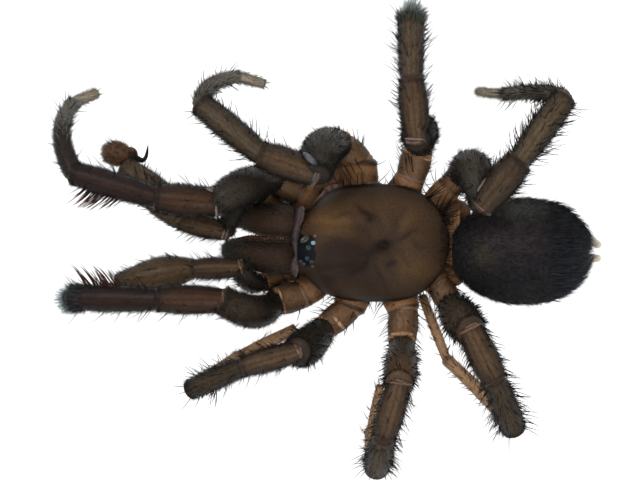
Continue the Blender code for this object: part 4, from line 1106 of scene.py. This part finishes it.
# For each kind of tube: fine hairs to the square millimetre, then bristles, and the bristles' lengths
COATS = {
    "coxa": (20, 5.0, 0.3, 0.75),
    "trochanter": (60, 8.0, 0.25, 0.55),
    "femur": (420, 12.0, 0.18, 0.4),
    "patella": (280, 14.0, 0.22, 0.6),
    "tibia": (340, 18.0, 0.25, 0.8),
    "metatarsus": (480, 22.0, 0.2, 0.6),
    "pale_foot": (70, 8.0, 0.15, 0.4),
    "tarsus": (420, 3.0, 0.1, 0.2),
    "palp_tibia": (200, 7.0, 0.2, 0.4),
}
# Share of the hairs that are missing along each tube's back
BALD = {"coxa": 0.7, "trochanter": 0.5, "patella": 0.8, "tibia": 0.75, "palp_tibia": 0.6, "femur": 0.3}
SILVER = (124, 128, 126)
# Where along the metatarsus of the two legs with silver feet that hair begins
SILVER_STARTS = {"leg_1_right": 0.2, "leg_2_right": -0.2}
FUZZ_COLOURS = {
    "femur": (35, 33, 29), "coxa": (40, 28, 20), "trochanter": (36, 27, 20), "patella": (34, 27, 21),
    "tibia": (32, 27, 23), "metatarsus": (44, 41, 37), "tarsus": (104, 94, 80), "palp_tibia": (38, 31, 24),
    "pale_foot": (96, 70, 48),
}


def limb_place(turn, band, share, bands=7):
    """Places on a limb's unwrap, which has a band for each tube"""
    return np.stack([turn / math.tau * 0.96 + 0.02, (band + 0.05 + 0.9 * share) / bands], axis=-1)


def comb(joints, name, fuzz=1.0, setae=1.0):
    """Fine hairs and bristles on the tubes of a limb, lying towards its tip"""
    fine, long = [], []
    for band, joint in enumerate(joints):
        kind = joint["kind"]
        per_area, bristles_per_area, shortest, longest = COATS[kind]
        area = np.linalg.norm(joint["end"] - joint["start"]) * joint["half"] * math.tau
        thin = fuzz if kind == "femur" else 1.0
        for heap, density, first, low, high, lean, width in (
            (fine, per_area * thin, 0.03, 0.07, 0.16, 0.36, 0.0055),
            (fine, per_area * 0.15 * thin, 0.03, 0.14, 0.28, 0.4, 0.007),
            (fine, per_area * 0.1, 0.93, 0.1, 0.22, 0.75, 0.006),
            (long, bristles_per_area * setae, 0.03, shortest, longest, 0.36, 0.02),
        ):
            count = int(area * density)
            share = chance.uniform(first, 1.0, count)
            turn = chance.uniform(0, math.tau, count)
            stay = chance.random(count) > BALD.get(kind, 0) * smooth_step((np.sin(turn) - 0.35) / 0.4)
            share, turn = share[stay], turn[stay]
            count = len(share)
            points, along, out = tube_point(joint, share, turn)
            slant = np.clip(chance.normal(lean, 0.1, count), 0.2, 0.85)[:, None]
            aims = unit(out * (1 - slant) + along * slant + chance.normal(0, 0.1, (count, 3)))
            lengths = chance.uniform(low, high, count)
            colours = linear(FUZZ_COLOURS[kind] if heap is fine else BRISTLE_BLACK) * varied(count)
            if kind == "metatarsus" and heap is fine and name in SILVER_STARTS:
                silver = 0.7 * smooth_step((share - SILVER_STARTS[name]) / 0.5)
                colours[chance.random(count) < silver] = linear(SILVER)
            keep = points[:, 2] + aims[:, 2] * lengths > 0.03
            places = limb_place(turn, band, share, len(joints))
            columns = (points, aims, along * 0.3, lengths, np.full(count, width), places, colours)
            heap.append([column[keep] for column in columns])
    for heap, ending, levels in ((fine, "coat", 2), (long, "bristles", 3)):
        columns = [np.concatenate(column) for column in zip(*heap)]
        hairs(f"{name}_{ending}", *columns, levels=levels, sink=0.02)


def claws(name, tarsus):
    """Two small black hooks side by side at the foot's tip"""
    centre, along, across, over = station(tarsus, 1.0)[:4]
    flank = np.array(((-1,), (1,)))
    roots = centre + along * 0.03 + across * flank * 0.05 + UP * 0.04
    aims = unit(along + across * flank * 0.35 + over * 0.25)
    piece = hairs(f"{name}_claws", roots, aims, along * 0.1 - over * 0.35, 0.24, 0.03,
                  finish=fang_finish, levels=6)


# Share of its width that the thigh loses towards the knee, where it ends under a broader patella
FEMUR_TAPERS = {"leg_4_right": 0.22}

# How far the thigh's own dark colour gives way to its rim's brown towards the knee
BLUSHES = {"leg_3_left": 0.8, "leg_4_left": 0.6, "leg_1_left": 0.4, "leg_1_right": 0.4}

# Legs whose last two joints are both pale
PALE_FEET = ("leg_2_left", "leg_3_left", "leg_4_left")

# How light the femur, patella and tibia of each leg are: partly each leg's own tone, and partly painted
# shade, which makes the tibiae of the left legs darker than those of the right, as if lit from the animal's
# right
SHADES = {
    "leg_1_right": (0.8, 0.9, 0.95), "leg_2_right": (1.3, 0.98, 1.0), "leg_3_right": (1.2, 1.08, 1.15),
    "leg_4_right": (1.6, 0.78, 1.35), "leg_1_left": (0.45, 0.9, 0.8), "leg_2_left": (1.0, 1.02, 0.58),
    "leg_3_left": (1.9, 1.1, 0.72), "leg_4_left": (1.5, 1.12, 0.72),
}

# How dense the fuzz of the femur and the bristles of each leg are, against the fullest
COAT_SHARES = {
    "leg_1_right": (0.8, 0.3), "leg_2_right": (1.0, 0.5), "leg_3_right": (1.0, 1.3),
    "leg_4_right": (0.8, 1.3), "leg_1_left": (1.0, 0.35), "leg_2_left": (0.8, 0.9),
    "leg_3_left": (0.2, 1.5), "leg_4_left": (0.55, 1.6),
}

# Long black bristles on the hips of the right side, as the place of the root and of the tip from above
LONG_BRISTLES = {
    "leg_2_right": (
        ((-2.76, 0.46), (-1.97, 0.78)), ((-2.68, 0.64), (-1.97, 1.0)), ((-2.79, 0.82), (-2.19, 1.07)),
        ((-2.5, 0.2), (-1.8, 0.42)), ((-2.95, 1.0), (-2.3, 1.3)),
    ),
    "leg_3_right": (
        ((-3.18, 2.88), (-2.47, 2.95)), ((-3.08, 2.99), (-2.33, 3.02)), ((-3.25, 3.4), (-2.93, 3.84)),
        ((-3.2, 3.22), (-2.83, 3.66)), ((-2.95, 2.8), (-2.3, 2.82)),
    ),
    "leg_4_right": (
        ((-0.95, 3.92), (-1.75, 4.2)), ((-0.9, 4.05), (-1.66, 4.42)), ((-1.05, 4.18), (-1.8, 4.55)),
        ((-1.15, 3.85), (-1.9, 4.1)), ((-1.25, 4.05), (-2.0, 4.38)), ((-1.3, 4.3), (-1.95, 4.7)),
    ),
}


def hip_bristles(name, skin, coxa):
    """Long bristles set in the uppermost skin below each root's place"""
    surface = np.concatenate(skin.points)
    pairs = np.array(LONG_BRISTLES[name])
    near = [np.argsort(np.hypot(*(surface[:, :2] - place).T))[:16] for place in pairs[:, 0]]
    height = np.array([surface[nearest, 2].max() for nearest in near])[:, None]
    roots = np.concatenate([pairs[:, 0], height - 0.03], axis=1)
    way = np.concatenate([pairs[:, 1], height + 0.4], axis=1) - roots
    axis = coxa["end"] - coxa["start"]
    share = np.clip(((roots - coxa["start"]) @ axis) / (axis @ axis), 0, 1)
    places = np.stack([0.26 + 0.01 * np.arange(len(share)), (0.05 + 0.9 * share) / 7], axis=-1)
    piece = hairs(f"{name}_hip_bristles", roots, unit(way), (0.0, 0.12, -0.15), np.linalg.norm(way, axis=1),
                  0.024, places, levels=5)


leg_joints = {}
for name, (stations, bows, widths) in LEGS.items():
    red = name.startswith("leg_1")
    shades = SHADES[name]
    rim, taper, blush = FEMUR_RIMS.get(name, FEMUR_RIM), FEMUR_TAPERS.get(name, 0.0), BLUSHES.get(name, 0.0)
    looks = {
        "femur": dict(shade=shades[0], rim=rim, taper=taper, blush=blush),
        "patella": dict(red=red, shade=shades[1]), "tibia": dict(red=red, shade=shades[2]),
        "metatarsus": dict(red=red),
    }
    feet = ("pale_foot", "pale_foot") if name in PALE_FEET else ("metatarsus", "tarsus")
    kinds = ("coxa", "trochanter", "femur", "patella", "tibia", *feet)
    joints = limb_joints(kinds, stations, {2: bows[0], 5: bows[1]}, widths, looks)
    leg_joints[name] = joints
    skin = limb_skin(name, joints)
    piece = skin.done(f"{name}_skin", leg_finish)
    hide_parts(f"{name}_femur", f"{name}_tibia", f"{name}_tarsus")
    comb(joints, name, *COAT_SHARES[name])
    claws(name, joints[-1])
    if name in LONG_BRISTLES:
        hip_bristles(name, skin, joints[0])


# Grey tufts
# Where the left front leg and the right third leg turn down under themselves, the dense grey hair of the
# metatarsus stands out beyond the shin.
TUFT_COLOURS = {
    "leg_1_left": {"shin": (58, 60, 62), "foot": (128, 142, 144)},
    "leg_3_right": {"shin": (78, 78, 72), "foot": (160, 172, 170)},
}
for name, way_out in (("leg_1_left", (0.0, -1.0, 0.25)), ("leg_3_right", (-1.0, 0.0, 0.25))):
    for part, joint, low, high, count in (("shin", 4, 0.84, 1.0, 500), ("foot", 5, 0.0, 0.6, 900)):
        share = chance.uniform(low, high, count)
        turn = chance.uniform(0, math.tau, count)
        points, along, out = tube_point(leg_joints[name][joint], share, turn)
        aims = unit(out * 0.5 + np.array(way_out) * 0.7 + along * 0.1 + chance.normal(0, 0.2, (count, 3)))
        tuft = hairs(f"{name}_{part}_tuft", points, aims, along * 0.1, chance.uniform(0.15, 0.5, count),
                     0.008, limb_place(turn, joint, share), TUFT_COLOURS[name][part], sink=0.02)


# Brush of the front shins
# On the inner lower face of each front tibia the male has a brush of long, curved, blunt spines, reddish
# where the light comes through them. He holds the female with them.
SPINE_RED = (62, 34, 28)
for name, flank in (("leg_1_right", math.pi), ("leg_1_left", 0.0)):
    count = 30
    share = np.linspace(0.42, 0.84, count)
    turn = flank + chance.uniform(-0.3, 0.5, count)
    points, along, out = tube_point(leg_joints[name][4], share, turn)
    aims = unit(out * 0.8 + along * 0.35 + chance.normal(0, 0.07, (count, 3)))
    lengths = chance.uniform(0.55, 0.95, count)
    places = limb_place(turn % math.tau, 4, share)
    brush = hairs(f"{name}_brush", points, aims, along * 0.25, lengths, 0.034, places, SPINE_RED,
                  levels=5, sink=0.03)


# Palps
# The palps are a short pair of limbs beside the jaws. The male's have a swollen tibia and end in a small
# hairy cup that carries a dark round bulb with a curved black spur.
PALP_KINDS = ("coxa", "trochanter", "femur", "patella", "palp_tibia")
PALPS = {
    "palp_right": dict(
        stations=((-0.37, -0.42, 0.5), (-1.1, -1.62, 0.5), (-1.62, -2.3, 1.0), (-0.34, -3.61, 2.95),
                  (-0.73, -5.23, 2.75), (-2.64, -7.15, 2.3)),
        bows={2: (-1.6, -3.0, 2.22), 4: (-1.69, -6.12, 2.55)}, widths=(0.48, 0.38, 0.36, 0.39, 0.6),
        cup=(-3.12, -7.48, 2.2), cup_way=(-0.2, -0.97, -0.1), bulb=(-3.1, -7.0, 2.15),
        spur=((-2.98, -6.84, 2.15), (-2.86, -6.55, 2.15), (-3.02, -6.42, 2.15), (-3.47, -6.36, 2.2)),
    ),
    "palp_left": dict(
        stations=((0.48, -0.42, 0.5), (1.2, -1.62, 0.5), (1.48, -2.3, 1.0), (0.93, -3.1, 2.62),
                  (0.98, -4.8, 2.4), (1.51, -7.35, 1.9)),
        bows={2: (1.42, -2.75, 2.1), 4: (1.15, -5.94, 2.2)}, widths=(0.44, 0.38, 0.36, 0.39, 0.6),
        cup=(1.97, -7.72, 1.72), cup_way=(0.76, -0.6, -0.3), bulb=(1.95, -7.6, 1.42),
        spur=((1.9, -7.45, 1.22), (1.86, -7.32, 1.18), (1.8, -7.22, 1.15), (1.5, -7.0, 1.2)),
    ),
}
CUP_HALF = (0.42, 0.52, 0.33)
CUP_BROWN = (92, 66, 45)
# Colour of a painted glint on the bulb
BULB_GLINT_RED = (96, 48, 38)
BULB_DARK = (40, 28, 24)
SPUR_BLACK = (16, 11, 10)
CUP_HAIR = (66, 48, 34)

for name, palp in PALPS.items():
    joints = limb_joints(PALP_KINDS, palp["stations"], palp["bows"], palp["widths"], {})
    middle, cup_way, bulb = (np.array(palp[key]) for key in ("cup", "cup_way", "bulb"))
    cup_way = unit(cup_way)
    share = np.linspace(0, 1, 24)
    size = np.interp(share, (0, 0.3, 0.75, 1), (0.13, 0.09, 0.055, 0.01))
    spur = pipe(along_route(palp["spur"], share), size, 16)
    # A small red knob on the bulb stands for a painted glint
    glint_knob = ball_rings(bulb + (-0.12, 0.04, 0.15), (0.09, 0.09, 0.11), (0.3, 1, 0), rows=12, columns=16)
    skin = limb_skin(name, joints, (
        (ball_rings(middle, CUP_HALF, cup_way), CUP_BROWN),
        (ball_rings(bulb, (0.27, 0.27, 0.25), (0.3, 1, 0)), BULB_DARK), (glint_knob, BULB_GLINT_RED), (spur, SPUR_BLACK),
    ))
    piece = skin.done(f"{name}_skin", leg_finish)
    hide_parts(f"{name}_femur", f"{name}_tibia", f"{name}_bulb")
    comb(joints, name)

    count = 1200
    swing = np.arccos(chance.uniform(-0.95, 1.0, count))
    turn = chance.uniform(0, math.tau, count)
    out = about(cup_way, turn, CUP_HALF[0], CUP_HALF[2])
    out = cup_way * (np.cos(swing) * CUP_HALF[1])[:, None] + out * np.sin(swing)[:, None]
    aims = unit(unit(out) * 0.7 + cup_way * 0.5 + chance.normal(0, 0.12, (count, 3)))
    lengths = chance.uniform(0.06, 0.16, count) + 0.25 * (chance.random(count) < 0.08)
    coat = hairs(f"{name}_cup_coat", middle + out, aims, cup_way * 0.1, lengths, 0.008,
                 on_unwrap(turn / math.tau, swing / math.pi), CUP_HAIR, sink=0.02)

    # Strong black bristles stand on the outer side of the right palp's tibia, under the bulb
    if name == "palp_right":
        turn = math.pi * chance.uniform(0.15, 0.45, 16)
        roots, along, out = tube_point(joints[-1], np.linspace(0.35, 0.98, 16), turn)
        aims = unit(out * 0.2 + np.array((0.95, 0.1, 0.45)) + chance.normal(0, 0.12, (16, 3)))
        row = hairs("palp_right_bristle_row", roots, aims, out * 0.1, chance.uniform(0.35, 0.6, 16), 0.022,
                    levels=4, sink=0.03)
        roots, along, out = tube_point(joints[-1], np.array((0.7,)), np.array((math.pi,)))
        aims = unit(np.array(((0.4, 1.0, 0.2),)))
        spine = hairs("palp_right_spine", roots, aims, (-0.35, 0.1, 0.0), 0.6, 0.04, levels=6, sink=0.04)


# Ground and light
# A matt white ground and an even, shadowless light, as on a microscope stage.
GROUND_HALF = 0.6
ground_mesh = bpy.data.meshes.new("ground")
corners = [(x * GROUND_HALF, y * GROUND_HALF, 0) for x, y in ((-1, -1), (1, -1), (1, 1), (-1, 1))]
ground_mesh.from_pydata(corners, [], [(0, 1, 2, 3)])
ground = bpy.data.objects.new("ground", ground_mesh)
ground.location.z = -0.00001
bpy.context.scene.collection.objects.link(ground)
ground_finish = bpy.data.materials.new("white ground")
ground_finish.use_nodes = True
ground_shader = ground_finish.node_tree.nodes["Principled BSDF"]
ground_shader.inputs["Base Color"].default_value = (0.3, 0.3, 0.3, 1)
ground_shader.inputs["Roughness"].default_value = 0.9
ground_shader.inputs["Emission Color"].default_value = (1, 1, 1, 1)
ground_shader.inputs["Emission Strength"].default_value = 1.0
ground_mesh.materials.append(ground_finish)
ground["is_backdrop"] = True

world = bpy.data.worlds.new("even light")
bpy.context.scene.world = world
world.use_nodes = True
world.node_tree.nodes["Background"].inputs["Color"].default_value = (0.95, 0.98, 1.0, 1)
world.node_tree.nodes["Background"].inputs["Strength"].default_value = 0.8
bpy.context.scene.view_settings.view_transform = "Standard"


def lamp(name, place, size, power):
    """A square soft light aimed at the middle of the body"""
    data = bpy.data.lights.new(name, "AREA")
    data.size = size
    data.energy = power
    light = bpy.data.objects.new(name, data)
    light.location = place
    light.rotation_euler = (Vector((0, 0, 0.002)) - Vector(place)).to_track_quat("-Z", "Y").to_euler()
    bpy.context.scene.collection.objects.link(light)


lamp("lamp_left", (-0.08, -0.1, 0.16), 0.08, 0.12)
lamp("lamp_right", (0.1, 0.06, 0.16), 0.08, 0.07)

# Size
# The box round everything that the render shows apart from the ground, in metres.
low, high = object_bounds()
